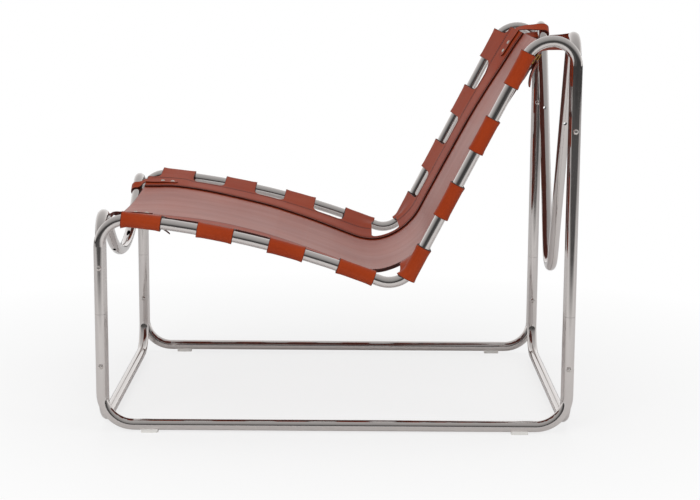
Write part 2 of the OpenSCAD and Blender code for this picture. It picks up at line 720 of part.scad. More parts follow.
// Buckle frame: a rounded rectangle of brass wire
buckle_corner_r = buckle_wire * 1.05;
buckle_half = buckle_opening / 2 + wire_r;
module buckle() {
    outline = [
        [0, 0], [buckle_half, 0], [buckle_half, buckle_length],
        [-buckle_half, buckle_length], [-buckle_half, 0], [0, 0]
    ];
    color("goldenrod")
    run_between(outline, [for (k = [1:4]) buckle_corner_r], wire_r, 0);
}

// Prong: an eye on the heel bar and a pin that rests below the front bar
prong_r = prong_wire / 2;
eye_bore_r = wire_r + prong_clearance;
eye_wall = prong_r;
pin_drop = wire_r + prong_r + prong_clearance;
module prong() {
    color("gold")
    difference() {
        union() {
            rotate([0, 90, 0])
                cylinder(r = eye_bore_r + eye_wall, h = prong_eye_width, center = true, $fn = fine_fn);
            translate([0, 0, -pin_drop]) rotate([-90, 0, 0])
                cylinder(r = prong_r, h = buckle_length + buckle_wire, $fn = fine_fn);
            translate([0, buckle_length + buckle_wire, -pin_drop]) sphere(r = prong_r, $fn = fine_fn);
        }
        rotate([0, 90, 0])
            cylinder(r = eye_bore_r, h = prong_eye_width + 2 * over, center = true, $fn = fine_fn);
    }
}

// Bands of leather, straps and chapes, are drawn from stations. A station is
// [middle, across, outwards, width share].
slot_width = prong_eye_width + 2 * prong_wire / 3;
function band_shares(width) = [-0.5, -0.5 * slot_width / width, 0.5 * slot_width / width, 0.5];
module band(stations, width, thick, front, slot_from, slot_to) {
    side = -toward(front) * thick / 2;
    grid = [
        for (st = stations) [
            for (w = band_shares(width))
                let (p = st[0] + st[1] * w * width * st[3]) [p + st[2] * side, p - st[2] * side]
        ]
    ];
    sheet(grid, function (i, j) j != 1 || i < slot_from || i > slot_to);
}
function frame_station(front, y, z, a, w = 1) =
    let (f = buckle_frame(front))
    [
        in_frame(f, [0, y, z], toward(front)), f[1],
        f[2] * cos(a) * toward(front) + f[3] * sin(a), w
    ];
// A station that lies on the drawn sling, lifted by k along its own piece of sheet
function sling_station(s, k, w = 1) =
    let (
        i = station_before(s),
        f = sling_frame(s, k, stations[i], stations[i + 1])
    )
    [f[0], f[1], f[3], w];
// Drawn stations of the sling between two places, from the first to the second
function stations_between(a, b) =
    a < b ? [for (s = stations) if (s > a && s < b) s] :
    let (up = [for (s = stations) if (s > b && s < a) s])
    [for (i = [len(up) - 1:-1:0]) up[i]];

// Chape: from under the sling, round the heel bar and back, with a slot for the prong's eye
chape_width = 0.9 * strap_width;
slot_back = 2 * wire_r + fold_gap;
chape_reach = 2.2 * buckle_length;
chape_lower = 1.5 * buckle_length;
chape_close = 0.7 * buckle_length;
chape_lift = -under_sling - chape_thick / 2;
function chape_place(front, reach) = heel_place(front) - toward(front) * reach;
// The upper layer lies under the sling and the lower one under it, facing the other way
function chape_upper(front) =
    let (from = chape_place(front, chape_reach))
    concat(
        [sling_station(from, chape_lift, 0.9)],
        [for (s = stations_between(from, chape_place(front, slot_back))) sling_station(s, chape_lift)]
    );
function lower_station(s, w = 1) =
    let (st = sling_station(s, chape_lift - chape_thick - lay_gap, w))
    [st[0], st[1], -st[2], w];
function chape_stations(front) =
    let (
        close = chape_place(front, chape_close),
        end = chape_place(front, chape_lower)
    )
    concat(
        chape_upper(front),
        [frame_station(front, -slot_back, fold_r, 90)],
        [for (a = [90:-45:-90]) frame_station(front, fold_r * cos(a), fold_r * sin(a), a)],
        [frame_station(front, -slot_back, -fold_r, -90), lower_station(close)],
        [for (s = stations_between(close, end)) lower_station(s)],
        [
            lower_station(end),
            lower_station(end - toward(front) * chape_width * 0.3, 0.87),
            lower_station(end - toward(front) * chape_width * 0.45, 0.5)
        ]
    );
module chape(front) {
    all_stations = chape_stations(front);
    first = len(chape_upper(front));
    color("saddlebrown") band(all_stations, chape_width, chape_thick, front, first, first + 5);
}

// Strap: riveted on the strip, round the cross frame's arm, back through the buckle
strap_lift = leather / 2 + strap_gap + strap_thick / 2;
wrap_clearance = 0.6;
tip_reach = 1.55 * rivet_pitch;
// Place on the sling of the rivet next to the cross frame
function rivet_place(front, n) = heel_place(front) + toward(front) * (rivet_lead - n * rivet_pitch);
function edge_place(front) = front ? sling_front : sling_top;
rivet_lead = 0.7 * buckle_length;
top_wrap_angle = 45;
wrap_centre = [
    [
        side_x - strap_reach, -leg_y,
        dip_corner(front_dip_height, front_dip_r, front_fall) + (side_x - strap_reach) * tan(front_fall)
    ],
    [
        cross_x - rear_shoulder_r - rear_shoulder_r * sin(top_wrap_angle), leg_y,
        rear_shoulder_height - rear_shoulder_r + rear_shoulder_r * cos(top_wrap_angle)
    ]
];
wrap_fall = [front_fall, top_wrap_angle];
function wrap_no(front) = front ? 0 : 1;
// The rear arm is curved where the strap goes round it
function wrap_r(front) =
    tube_r + wrap_clearance + strap_thick / 2
    + (front ? 0 : rear_shoulder_r - sqrt(pow(rear_shoulder_r, 2) - pow(strap_width / 2, 2)));
function wrap_station(front, a) =
    let (
        t = wrap_fall[wrap_no(front)],
        out = [-sin(t) * cos(a), toward(front) * sin(a), cos(t) * cos(a)],
        c = wrap_centre[wrap_no(front)]
    )
    [c + wrap_r(front) * out, [cos(t), 0, sin(t)], out, 1];
wrap_angles = [-10:30:200];
function curve(p, q, r, t, k) =
    p * pow(1 - k, 3) + q * 3 * k * pow(1 - k, 2) + r * 3 * k * k * (1 - k) + t * pow(k, 3);
// Stations between two others: da and db are the directions of travel at each
function bridge(a, b, da, db, reach, n) = [
    for (k = [1:n - 1])
        let (
            m = k / n,
            p = curve(a[0], a[0] + da * reach, b[0] - db * reach, b[0], m),
            across = unit3(mix(a[1], b[1], m)),
            out = mix(a[2], b[2], m)
        )
        [p, across, unit3(out - across * (out * across)), 1]
];
function travel(st, front) = -toward(front) * cross(st[1], st[2]);
tail_droop = strap_width / 2;
strap_entry = buckle_length + 2 * buckle_wire;
slot_front = 0.8 * buckle_length;
slot_middle = 0.25 * buckle_length;
slot_rear = 0.2 * buckle_length;
tail_end = 2.6 * buckle_length;
function tail_y(k) = mix(-slot_rear, -tail_end, k);
function strap_stations(front) =
    let (
        tip = rivet_place(front, 0) - toward(front) * tip_reach,
        edge = edge_place(front),
        top = [
            sling_station(tip, strap_lift, 0.8),
            sling_station(tip + toward(front) * strap_width / 4, strap_lift),
            for (s = stations_between(tip + toward(front) * strap_width / 4, edge))
                sling_station(s, strap_lift),
            sling_station(edge, strap_lift)
        ],
        last_top = top[len(top) - 1],
        wrapped = [for (a = wrap_angles) wrap_station(front, a)],
        last_wrapped = wrapped[len(wrapped) - 1],
        under = [
            for (y = [strap_entry, buckle_length, slot_front, slot_middle, -slot_rear])
                frame_station(front, y, y < slot_front ? -strap_below : strap_above, -90),
            for (k = [0.25, 0.6, 0.85, 1])
                frame_station(front, tail_y(k), -strap_below - tail_droop * k * k, -90, k == 1 ? 0.4 : 1)
        ]
    )
    concat(
        top,
        bridge(last_top, wrapped[0], travel(last_top, front), travel(wrapped[0], front), strap_width / 3, 3),
        wrapped,
        bridge(last_wrapped, under[0], travel(last_wrapped, front), travel(under[0], front),
            strap_width / 2, 4),
        under
    );
module strap(front) {
    all_stations = strap_stations(front);
    // The slot spans the three stations inside the buckle, which seven others follow
    slot_at = len(all_stations) - 7;
    color("chocolate") band(all_stations, strap_width, strap_thick, front, slot_at, slot_at + 1);
}

// Rivets: a domed head on the strap, a shank through the layers and a flat head below
rivet_dome = rivet_head / 5;
rivet_foot_width = 0.75 * rivet_head;
module rivet(front, n) {
    s = rivet_place(front, n);
    i = station_before(s);
    top = strap_lift + strap_thick / 2;
    bottom = leather / 2 + lay_gap + leather + (n == 1 ? strap_gap + chape_thick : 0);
    at_frame(sling_frame(s, 0, stations[i], stations[i + 1]), 1) {
        translate([0, 0, -bottom]) cylinder(d = rivet_shank, h = top + bottom, $fn = fine_fn);
        translate([0, 0, -bottom - rivet_foot])
            cylinder(d = rivet_foot_width, h = rivet_foot, $fn = fine_fn);
        translate([0, 0, top])
            rotate_extrude($fn = fine_fn) polygon(dome_outline(rivet_head / 2, rivet_dome, 0));
    }
}
module rivets(front) {
    color("lightgray") {
        rivet(front, 0);
        rivet(front, 1);
    }
}

module right() {
    mirror([1, 0, 0]) children();
}

floor_rail_tube();  // left_floor_rail_tube
right() floor_rail_tube();  // right_floor_rail_tube
seat_back_tube();  // left_seat_back_tube
right() seat_back_tube();  // right_seat_back_tube
cross_base_tube(-leg_y);  // front_cross_base_tube
cross_base_tube(leg_y);  // rear_cross_base_tube
cross_top_tube(-leg_y, front_shoulder_r, front_dip_height, front_dip_r, front_fall);  // front_cross_top_tube
cross_top_tube(leg_y, rear_shoulder_r, rear_dip_height, rear_dip_r, rear_fall);  // rear_cross_top_tube
spigots(side_x);  // side_leg_spigots
spigots(cross_x);  // cross_leg_spigots
leg_bolts(front_bolts);  // front_leg_bolts
leg_bolts(rear_bolts);  // rear_leg_bolts
leg_nuts(front_bolts);  // front_leg_nuts
leg_nuts(rear_bolts);  // rear_leg_nuts
glide(-leg_y + glide_reach);  // left_front_glide
glide(leg_y - glide_reach);  // left_rear_glide
right() glide(-leg_y + glide_reach);  // right_front_glide
right() glide(leg_y - glide_reach);  // right_rear_glide
sling_panel();
sling_strip();  // left_sling_strip
right() sling_strip();  // right_sling_strip
strap(true);  // left_front_strap
right() strap(true);  // right_front_strap
strap(false);  // left_top_strap
right() strap(false);  // right_top_strap
chape(true);  // left_front_chape
right() chape(true);  // right_front_chape
chape(false);  // left_top_chape
right() chape(false);  // right_top_chape
at_buckle(true) buckle();  // left_front_buckle
right() at_buckle(true) buckle();  // right_front_buckle
at_buckle(false) buckle();  // left_top_buckle
right() at_buckle(false) buckle();  // right_top_buckle
at_buckle(true) prong();  // left_front_prong
right() at_buckle(true) prong();  // right_front_prong
at_buckle(false) prong();  // left_top_prong
right() at_buckle(false) prong();  // right_top_prong
rivets(true);  // left_front_rivets
right() rivets(true);  // right_front_rivets
rivets(false);  // left_top_rivets
right() rivets(false);  // right_top_rivets
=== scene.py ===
# %% [markdown]
# # A lounge chair of bent tube and leather
# Four chromed tube frames carry a leather sling, looped round the two side frames and buckled to
# the two cross frames. The metal pieces come from the CAD model, and only get their finish here.
# Every leather piece is made again: cut edges, stitches and grain make leather look like leather.

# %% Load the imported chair
import math

import bmesh
import bpy
import numpy as np
from mathutils import Matrix


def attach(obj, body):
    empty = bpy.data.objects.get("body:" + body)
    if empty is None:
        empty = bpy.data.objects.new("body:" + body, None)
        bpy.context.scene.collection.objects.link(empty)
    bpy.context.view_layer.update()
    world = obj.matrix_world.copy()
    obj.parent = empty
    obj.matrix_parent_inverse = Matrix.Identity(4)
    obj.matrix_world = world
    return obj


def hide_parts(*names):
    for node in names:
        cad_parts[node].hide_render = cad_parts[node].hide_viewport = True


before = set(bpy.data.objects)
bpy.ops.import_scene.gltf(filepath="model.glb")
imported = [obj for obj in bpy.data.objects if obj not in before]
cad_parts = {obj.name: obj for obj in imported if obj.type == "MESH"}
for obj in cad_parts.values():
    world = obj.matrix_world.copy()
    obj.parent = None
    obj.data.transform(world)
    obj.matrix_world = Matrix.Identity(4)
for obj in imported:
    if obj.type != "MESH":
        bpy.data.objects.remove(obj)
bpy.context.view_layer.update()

# %% [markdown]
# ## The camera
# The photograph looks straight at the chair's left side, from a little above the top of the back.
# A Track To constraint could aim a camera by eye. Here its place and three small turns were
# worked out from points of the frame whose real places are known.

# %% Camera of the photograph
FOCAL_PIXELS, PHOTO_WIDTH, SENSOR_WIDTH = 1687.59, 700, 36
CAMERA_PLACE = (3.56973, 0.03225, 0.91964)
PITCH, YAW, ROLL = (math.radians(a) for a in (9.751, 0.0702, 0.339))


def placed(right, up, back, place):
    """The matrix of an object at place, whose own axes point right, up and back."""
    rows = np.stack([right, up, back], 1)
    return Matrix([[*r, p] for r, p in zip(rows, place)] + [[0, 0, 0, 1]])


def camera_matrix(place, pitch, yaw, roll):
    """Looking along minus X, turned by yaw about Z, then down by pitch, then by roll about the
    line of sight."""
    forward = np.array([-math.cos(yaw), -math.sin(yaw), 0.0])
    right = np.array([-math.sin(yaw), math.cos(yaw), 0.0])
    up = np.array([0.0, 0.0, 1.0])
    aim = forward * math.cos(pitch) - up * math.sin(pitch)
    top = up * math.cos(pitch) + forward * math.sin(pitch)
    side = right * math.cos(roll) + top * math.sin(roll)
    top = top * math.cos(roll) - right * math.sin(roll)
    return placed(side, top, -aim, place)


def show(name, data):
    """A new object in the scene."""
    o = bpy.data.objects.new(name, data)
    bpy.context.scene.collection.objects.link(o)
    return o


camera = show("Camera", bpy.data.cameras.new("Camera"))
camera.data.sensor_width = SENSOR_WIDTH
camera.data.lens = FOCAL_PIXELS * SENSOR_WIDTH / PHOTO_WIDTH
camera.data.clip_end = 60
camera.matrix_world = camera_matrix(CAMERA_PLACE, PITCH, YAW, ROLL)
bpy.context.scene.camera = camera
print("lens:", round(camera.data.lens, 2), "mm")

# %% [markdown]
# ## The line of the side tube
# The leather follows the side tube, so its shape starts from the tube's middle line. A curve
# object could draw the bender's straights and arcs. Worked out with numpy, the path also answers
# where any distance along it lies, and which way the tube points there.

# %% Sizes of the side frame, in metres
SIDE_X, LEG_Y, TUBE_R = 0.350, 0.4575, 0.011
SEAM_Z, FRONT_Z, CROWN_Z = 0.2372, 0.4289, 0.7701
FRONT_REACH, REAR_REACH = 0.2963, 0.2909
FRONT_FALL, REAR_FALL, BACK_LEAN = (math.radians(a) for a in (6, 20.3, 27.2))
BEND_R, BOW_R, CROWN_REAR_R = 0.053, 1.830, 0.0465
front_corner = np.array([-LEG_Y, FRONT_Z])
bow_corner = front_corner + [FRONT_REACH, -FRONT_REACH * math.tan(FRONT_FALL)]
seat_back_corner = bow_corner + [REAR_REACH, -REAR_REACH * math.tan(REAR_FALL)]
crown_corner = np.array([0, CROWN_Z])
crown_corner[0] = seat_back_corner[0] + (CROWN_Z - seat_back_corner[1]) * math.tan(BACK_LEAN)
crown_r = (LEG_Y - crown_corner[0] - CROWN_REAR_R) / math.tan((math.pi / 2 - BACK_LEAN) / 2)


def bent_line(corners, radii, step=0.0005):
    """A path of straights and arcs as samples of length, place and heading. An arc of radius r
    and turn t starts r tan(t / 2) before its corner, and its length is r t."""
    c = np.asarray(corners, float)
    legs = np.diff(c, axis=0)
    reach = np.linalg.norm(legs, axis=1)
    aim = np.unwrap(np.arctan2(legs[:, 1], legs[:, 0]))
    turn = np.diff(aim)
    cut = np.concatenate([[0], radii * np.tan(np.abs(turn) / 2), [0]])
    length, place, heading, arcs, total = [], [], [], [], 0.0
    for k in range(len(legs)):
        straight = reach[k] - cut[k] - cut[k + 1]
        start = c[k] + legs[k] / reach[k] * cut[k]
        t = np.linspace(0, straight, max(2, int(straight / step)))
        length.append(total + t)
        place.append(start + t[:, None] * legs[k] / reach[k])
        heading.append(np.full(len(t), aim[k]))
        total += straight
        if k < len(turn):
            arc = radii[k] * abs(turn[k])
            side = math.copysign(1, turn[k])
            t = np.linspace(0, arc, max(2, int(arc / step)))[1:-1]
            a = aim[k] + side * t / radii[k]
            out = np.array([-math.sin(aim[k]), math.cos(aim[k])])
            middle = place[-1][-1] + side * radii[k] * out
            length.append(total + t)
            place.append(middle + side * radii[k] * np.stack([np.sin(a), -np.cos(a)], 1))
            heading.append(a)
            arcs.append((total, total + arc))
            total += arc
    return np.concatenate(length), np.concatenate(place), np.concatenate(heading), arcs


rail = bent_line(
    [(-LEG_Y, SEAM_Z), front_corner, bow_corner, seat_back_corner, crown_corner,
     (LEG_Y, CROWN_Z), (LEG_Y, SEAM_Z)],
    np.array([BEND_R, BOW_R, BEND_R, crown_r, CROWN_REAR_R]))
rail_arcs = rail[3]
RAIL_START = rail_arcs[0][1]
print("side tube:", round(rail[0][-1], 4), "m, crown bend:", round(crown_r, 4), "m")

# %% Any place on a line


def read_line(s, length, place):
    """Both coordinates of a line's place at distance s, from its samples."""
    return np.stack([np.interp(s, length, place[:, k]) for k in (0, 1)], -1)


def ahead(p, heading, far):
    """The place that lies far straight on from p."""
    return p + far[..., None] * np.stack([np.cos(heading), np.sin(heading)], -1)


def on_line(line, s):
    """Place and heading at distance s, straight on past both ends."""
    length, place, heading = line[:3]
    s = np.asarray(s, float)
    h = np.interp(s, length, heading)
    return ahead(read_line(s, length, place), h, s - np.clip(s, length[0], length[-1])), h


def rail_at(s):
    """The side tube's middle line, measured from the end of its front bend."""
    return on_line(rail, s + RAIL_START)


bend_from, bend_to = (x - RAIL_START for x in rail_arcs[2])
crown_from = rail_arcs[3][0] - RAIL_START
print("bends start and end at:", np.round([bend_from, bend_to, crown_from], 4))

# %% [markdown]
# ## The shape of the sling
# The sling leaves each tube at a tangent, falls to the inner edge of the side strip, and sags a
# little more towards the middle. A cloth simulation would find a shape of its own, but this one
# can be read off the photograph: the depth of the far strip's inner edge under the tube was
# measured at two dozen places.

# %% Path and sag of the sling
LEATHER, LAY_GAP, TUBE_GAP = 0.003, 0.0001, 0.0008
LOOP_R = TUBE_R + TUBE_GAP + LEATHER / 2
STRIP_REACH, CENTRE_SAG, CREASE = 0.133, 0.008, 0.012
SEAM_DIP, NEAR_RAISE = 0.0036, 0.008
# Where the near side's raise, and the seam's dip across and along the strip, start, are full, begin
# to end and end
RAISE_SPAN = (0.03, 0.20, 0.52, 0.64)
DIP_ACROSS, DIP_ALONG = (0.018, 0.068, 0.073, STRIP_REACH), (0.045, 0.075, 0.955, 0.985)
SLING_FRONT, SLING_TOP, LAST_TAB_END = -0.038, 1.078, 1.050
SLING_BEND_R = 0.110
SAG_BELL, PATH_BELL = 12, 7
wide_line = bent_line([bow_corner, seat_back_corner, crown_corner], np.array([SLING_BEND_R]))
wide_from, wide_to = wide_line[3][0]
bend_extra = (SLING_BEND_R - BEND_R) * math.tan((wide_to - wide_from) / SLING_BEND_R / 2)
# Places as shares of the last tab's end, and sags as shares of the tube's width
SAG_TABLE = np.array([
    (-0.037, 0.64), (-0.01, 0.5), (0.023, 0.28), (0.062, 0.26), (0.106, 0.29), (0.15, 0.38),
    (0.194, 0.44), (0.243, 0.48), (0.308, 0.65), (0.353, 0.76), (0.4, 0.87), (0.446, 0.95),
    (0.473, 1.05), (0.529, 0.8), (0.545, 0.7), (0.6, 0.6), (0.65, 0.62), (0.754, 0.68),
    (0.809, 0.72), (0.845, 0.8), (0.883, 0.92), (0.92, 1.07), (0.94, 1.18), (0.97, 1.28),
    (1.0, 1.4), (1.03, 1.6)])
SAG_PLACES, SAG_DEPTHS = SAG_TABLE[:, 0] * LAST_TAB_END, SAG_TABLE[:, 1] * 2 * TUBE_R


def smoothed(values, spread_mm):
    """Values at every millimetre, averaged with a bell curve. Both ends are first carried straight
    on, so that they don't bend."""
    n = int(4 * spread_mm)
    bell = np.exp(-0.5 * (np.arange(-n, n + 1) / spread_mm) ** 2)
    k = np.arange(1, n + 1)[:, None]
    v = values.reshape(len(values), -1)
    v = np.concatenate([v[0] - (v[1] - v[0]) * k[::-1], v, v[-1] + (v[-1] - v[-2]) * k])
    out = np.stack([np.convolve(c, bell / bell.sum(), "valid") for c in v.T], -1)
    return out.reshape(values.shape)


def wide_place(s):
    """The side tube's line, but with the sling's wider bend between seat and back."""
    a, b = bend_from - bend_extra, bend_to + bend_extra
    on_wide = on_line(wide_line, np.interp(s, [a, b, b + 2], [wide_from, wide_to, wide_to + 2]))[0]
    straight = np.clip(s, 0, crown_from)
    return np.where((s < a)[:, None], ahead(*rail_at(straight), s - straight), on_wide)


fine = np.arange(-80, 1141) / 1000
fine_sag = smoothed(np.interp(fine, SAG_PLACES, SAG_DEPTHS), SAG_BELL)
fine_place = smoothed(wide_place(fine), PATH_BELL)
fine_way = np.gradient(fine_place, axis=0)
fine_heading = np.unwrap(np.arctan2(fine_way[:, 1], fine_way[:, 0]))


def sling_at(s):
    """Place and heading of the sling's own line at distance s along the tube."""
    return read_line(s, fine, fine_place), np.interp(s, fine, fine_heading)


def edge_height(s):
    """Height of the strip's inner edge over the tube's middle: the measured sags, smoothed."""
    return -np.interp(s, fine, fine_sag)


def smoothstep(x):
    """A soft ramp from 0 to 1 as x does. Often x is (place - start) / width of the ramp."""
    x = np.clip(x, 0, 1)
    return x * x * (3 - 2 * x)


def swell(x, start, full, ending, end):
    """A soft rise from 0 at start to 1 at full, and a soft fall from ending to end."""
    return smoothstep((x - start) / (full - start)) * smoothstep((end - x) / (end - ending))


def near_raise(s):
    """How much higher the left strip's inner edge lies than the right one's: in the photograph
    the near side of the seat hangs less."""
    return NEAR_RAISE * swell(s, *RAISE_SPAN)


def side_raise(side, s):
    return near_raise(s) if side == "left" else 0 * s


def tangent_angle(x, h):
    """Direction from the tube's middle to where a straight line from (x, h) touches the loop."""
    return np.arctan2(h, x) + np.arccos(LOOP_R / np.hypot(x, h))


def sling_height(s, d, raised=0.0):
    """Height of the sling's middle layer at distance d in from the tube: a tangent line to the
    strip's inner edge, then a shallow bowl, with the crease between them eased."""
    e = edge_height(s) + raised
    a = tangent_angle(STRIP_REACH, e)
    slope = (LOOP_R * np.sin(a) - e) / (STRIP_REACH - LOOP_R * np.cos(a))
    line = e + slope * (STRIP_REACH - d)
    # The two layers of a tab meet level with the tube, so the strip dips there, clear of the straps
    line = line - SEAM_DIP * swell(d, *DIP_ACROSS) * swell(s, *DIP_ALONG)
    bowl = e - CENTRE_SAG * (1 - ((SIDE_X - d) / (SIDE_X - STRIP_REACH)) ** 2)
    return line + (bowl - line) * smoothstep((d - STRIP_REACH + CREASE) / (2 * CREASE))


def beside_line(line, d, h):
    """The point at distance d in from the side tube's plane, and h off a line's place."""
    p, a = line
    return np.stack([SIDE_X - d, p[..., 0] - h * np.sin(a), p[..., 1] + h * np.cos(a)], -1)


def sling_point(s, d, lift=0.0, raised=0.0):
    """A point of the left half of the sling, lifted off its middle layer."""
    s, d = np.broadcast_arrays(np.asarray(s, float), np.asarray(d, float))
    return beside_line(sling_at(s), d, sling_height(s, d, raised) + lift)


print("strip edge in mm at 0, 0.4, 0.8 m:", np.round(edge_height([0, 0.4, 0.8]) * 1000, 1))

# %% [markdown]
# ## Pieces from grids of points
# Every leather piece is a grid of points, with one direction along the piece and one across it.
# Bmesh could build it face by face. Whole arrays are quicker and keep the grid's own coordinates
# as a UV map, so that streaks and grain follow the leather.

# %% Make a mesh from a grid
SIDES = {"left": np.array([1, 1, 1]), "right": np.array([-1, 1, 1])}


def new_piece(name, points, faces, smooth=True):
    """An object in the scene with a mesh of its own."""
    mesh = bpy.data.meshes.new(name)
    mesh.from_pydata(points, [], faces)
    mesh.polygons.foreach_set("use_smooth", np.full(len(mesh.polygons), smooth))
    return show(name, mesh)


def grid_piece(name, grid, keep=None, uv=None, edge=None, ring=False, row=None):
    """A mesh of the grid's cells, whose normal is the first direction crossed with the second.
    keep says which cells are made, and ring joins the last column to the first."""
    ni, nj = grid.shape[:2]
    i, j = np.mgrid[0:ni - 1, 0:nj if ring else nj - 1]
    k = (j + 1) % nj
    faces = np.stack([i * nj + j, (i + 1) * nj + j, (i + 1) * nj + k, i * nj + k], -1)
    faces = faces.reshape(-1, 4) if keep is None else faces[keep]
    used, local = np.unique(faces, return_inverse=True)
    piece = new_piece(name, grid.reshape(-1, 3)[used], local.reshape(-1, 4))
    if uv is not None:
        layer = piece.data.uv_layers.new(name="leather")
        layer.data.foreach_set("uv", uv.reshape(-1, 2)[faces.ravel()].astype(np.float32).ravel())
    # The edge attribute gives the distance to a cut, and the other one gives where shade is painted
    # along the stitch rows
    for key, value in (("edge", edge), ("row", row)):
        if value is not None:
            layer = piece.data.attributes.new(key, "FLOAT", "POINT")
            layer.data.foreach_set("value", value.reshape(-1)[used].astype(np.float32))
    piece.data.update()
    return piece


def unit(v):
    return v / np.linalg.norm(v, axis=-1, keepdims=True)


EDGE_ROUND = 0.0005


def thicken(piece, materials):
    """Gives a sheet its thickness to both sides of its grid, with a flesh side and a cut edge."""
    for m in materials:
        piece.data.materials.append(m)
    wall = piece.modifiers.new("thickness", "SOLIDIFY")
    wall.thickness, wall.offset = LEATHER, 0
    wall.material_offset, wall.material_offset_rim = 1, 2
    soft = piece.modifiers.new("worn edges", "BEVEL")
    soft.width, soft.segments, soft.limit_method = EDGE_ROUND, 2, "ANGLE"
    soft.angle_limit, soft.harden_normals = math.radians(50), True


# %% [markdown]
# ## Leather
# Thick saddle leather has a smooth grain side, a duller flesh side and dark burnished cut edges.
# A picture of leather would repeat and needs a file, so noise at four sizes does it: blotches and
# lengthwise streaks of tone from the dye, and pebbles and pores as bump.

# %% Node helpers


def paint(red, green, blue):
    """A colour as a screen shows it, 0 to 255, changed to the linear values that shaders use."""
    v = np.array([red, green, blue]) / 255
    return (*np.where(v <= 0.04045, v / 12.92, ((v + 0.055) / 1.055) ** 2.4).tolist(), 1.0)


def new_finish(name):
    material = bpy.data.materials.new(name)
    material.use_nodes = True
    return material, material.node_tree, material.node_tree.nodes["Principled BSDF"]


def feed(tree, node, sockets):
    """Sets each socket to a value, or links it to another node's socket."""
    for key, value in dict(sockets).items():
        if isinstance(value, bpy.types.NodeSocket):
            tree.links.new(value, node.inputs[key])
        else:
            node.inputs[key].default_value = value


def add(tree, kind, sockets=(), **settings):
    """A node with its settings and sockets."""
    node = tree.nodes.new("ShaderNode" + kind)
    for key, value in settings.items():
        setattr(node, key, value)
    feed(tree, node, sockets)
    return node


def blend_colours(tree, factor, one, two):
    """Mix node between two colours or sockets."""
    return add(tree, "Mix", {0: factor, 6: one, 7: two}, data_type="RGBA").outputs[2]


def spread(tree, value, low, high, to_low=0.0, to_high=1.0):
    """Map Range node."""
    ends = {0: value, 1: low, 2: high, 3: to_low, 4: to_high}
    return add(tree, "MapRange", ends).outputs[0]


def maths(tree, operation, *values):
    """Math node."""
    return add(tree, "Math", enumerate(values), operation=operation).outputs[0]


def noise(tree, vector, scale, detail, roughness=0.5):
    """Noise node's grey value."""
    sockets = {"Vector": vector, "Scale": scale, "Detail": detail, "Roughness": roughness}
    return add(tree, "TexNoise", sockets).outputs[0]


def bump(tree, height, strength, distance):
    """Bump node's normal."""
    sockets = {"Height": height, "Strength": strength, "Distance": distance}
    return add(tree, "Bump", sockets).outputs[0]


# %% Leather finishes
STITCH_PITCH, EDGE_TONE = 0.0048, 0.0016
STREAKS = (3.0, 22.0, 1.0)


def leather_finish(name, colours, rough, shine, grain=0.25):
    """Grain side: blotches and streaks move the colour between dark, base and pale, and the colour
    goes to the edge tone within EDGE_TONE of a cut."""
    base, dark, pale, edge = (paint(*c) for c in colours)
    material, tree, shader = new_finish(name)
    place = add(tree, "TexCoord").outputs
    along = add(tree, "Mapping", {"Vector": place["UV"], "Scale": STREAKS}).outputs[0]
    blotch = noise(tree, place["Object"], 7.0, 4.0)
    streak = noise(tree, along, 1.0, 5.0, 0.6)
    pebble = add(tree, "TexVoronoi", {"Vector": place["Object"], "Scale": 750.0})
    pores = noise(tree, place["Object"], 1900.0, 2.0)
    colour = blend_colours(tree, spread(tree, blotch, 0.35, 0.65), dark, base)
    colour = blend_colours(tree, spread(tree, streak, 0.45, 0.8, 0.0, 0.4), colour, pale)
    near = add(tree, "Attribute", attribute_name="edge").outputs["Fac"]
    colour = blend_colours(tree, spread(tree, near, 0.0, EDGE_TONE), edge, colour)
    # Painted shade: along a stitch row the colour goes to the edge tone in spots between the
    # stitches, where the thread and its holes throw shade
    row = add(tree, "Attribute", attribute_name="row").outputs["Fac"]
    along_row = add(tree, "SeparateXYZ", {0: place["UV"]}).outputs[0]
    turn = maths(tree, "MULTIPLY", along_row, 2 * math.pi / STITCH_PITCH)
    stitch_shade_dots = spread(tree, maths(tree, "COSINE", turn), -0.2, 0.3)
    colour = blend_colours(tree, maths(tree, "MULTIPLY", row, stitch_shade_dots), colour, edge)
    height = maths(tree, "ADD", pebble.outputs["Distance"], pores)
    feed(tree, shader, {
        "Base Color": colour, "Specular IOR Level": shine,
        "Roughness": spread(tree, streak, 0.3, 0.7, rough + 0.03, rough - 0.03),
        "Normal": bump(tree, height, grain, 0.0002)})
    return material


def flesh_finish(name, base, dark):
    """Flesh side and cut edges: matt, with short fibres."""
    material, tree, shader = new_finish(name)
    fibre = noise(tree, add(tree, "TexCoord").outputs["Object"], 420.0, 6.0, 0.7)
    tone = spread(tree, fibre, 0.35, 0.65)
    feed(tree, shader, {
        "Base Color": blend_colours(tree, tone, paint(*dark), paint(*base)),
        "Normal": bump(tree, fibre, 0.5, 0.0003), "Roughness": 0.75, "Sheen Weight": 0.15})
    return material


seat_leather = leather_finish(
    "seat leather", ((160, 64, 32), (148, 56, 28), (172, 80, 44), (96, 32, 14)), 0.36, 0.6, 0.2)
strip_leather = leather_finish(
    "strip leather", ((160, 58, 16), (150, 50, 12), (170, 68, 22), (66, 18, 8)), 0.46, 0.2)
strap_leather = leather_finish(
    "strap leather", ((160, 58, 18), (146, 50, 14), (172, 70, 26), (80, 24, 10)), 0.46, 0.25)
flesh = flesh_finish("flesh side", (104, 42, 24), (78, 28, 16))
cut_edge = flesh_finish("cut edge", (66, 20, 10), (42, 12, 6))
thread = flesh_finish("waxed thread", (58, 16, 8), (40, 10, 6))
print("finishes:", [m.name for m in (seat_leather, strip_leather, strap_leather)])

# %% [markdown]
# ## The panel
# The panel is one hide between the side strips, sewn under them: the sling's shape on a plain
# grid, a little under the strips' own layer. The grid keeps to the leather's middle, and a
# Solidify modifier gives both faces and the cut edges.

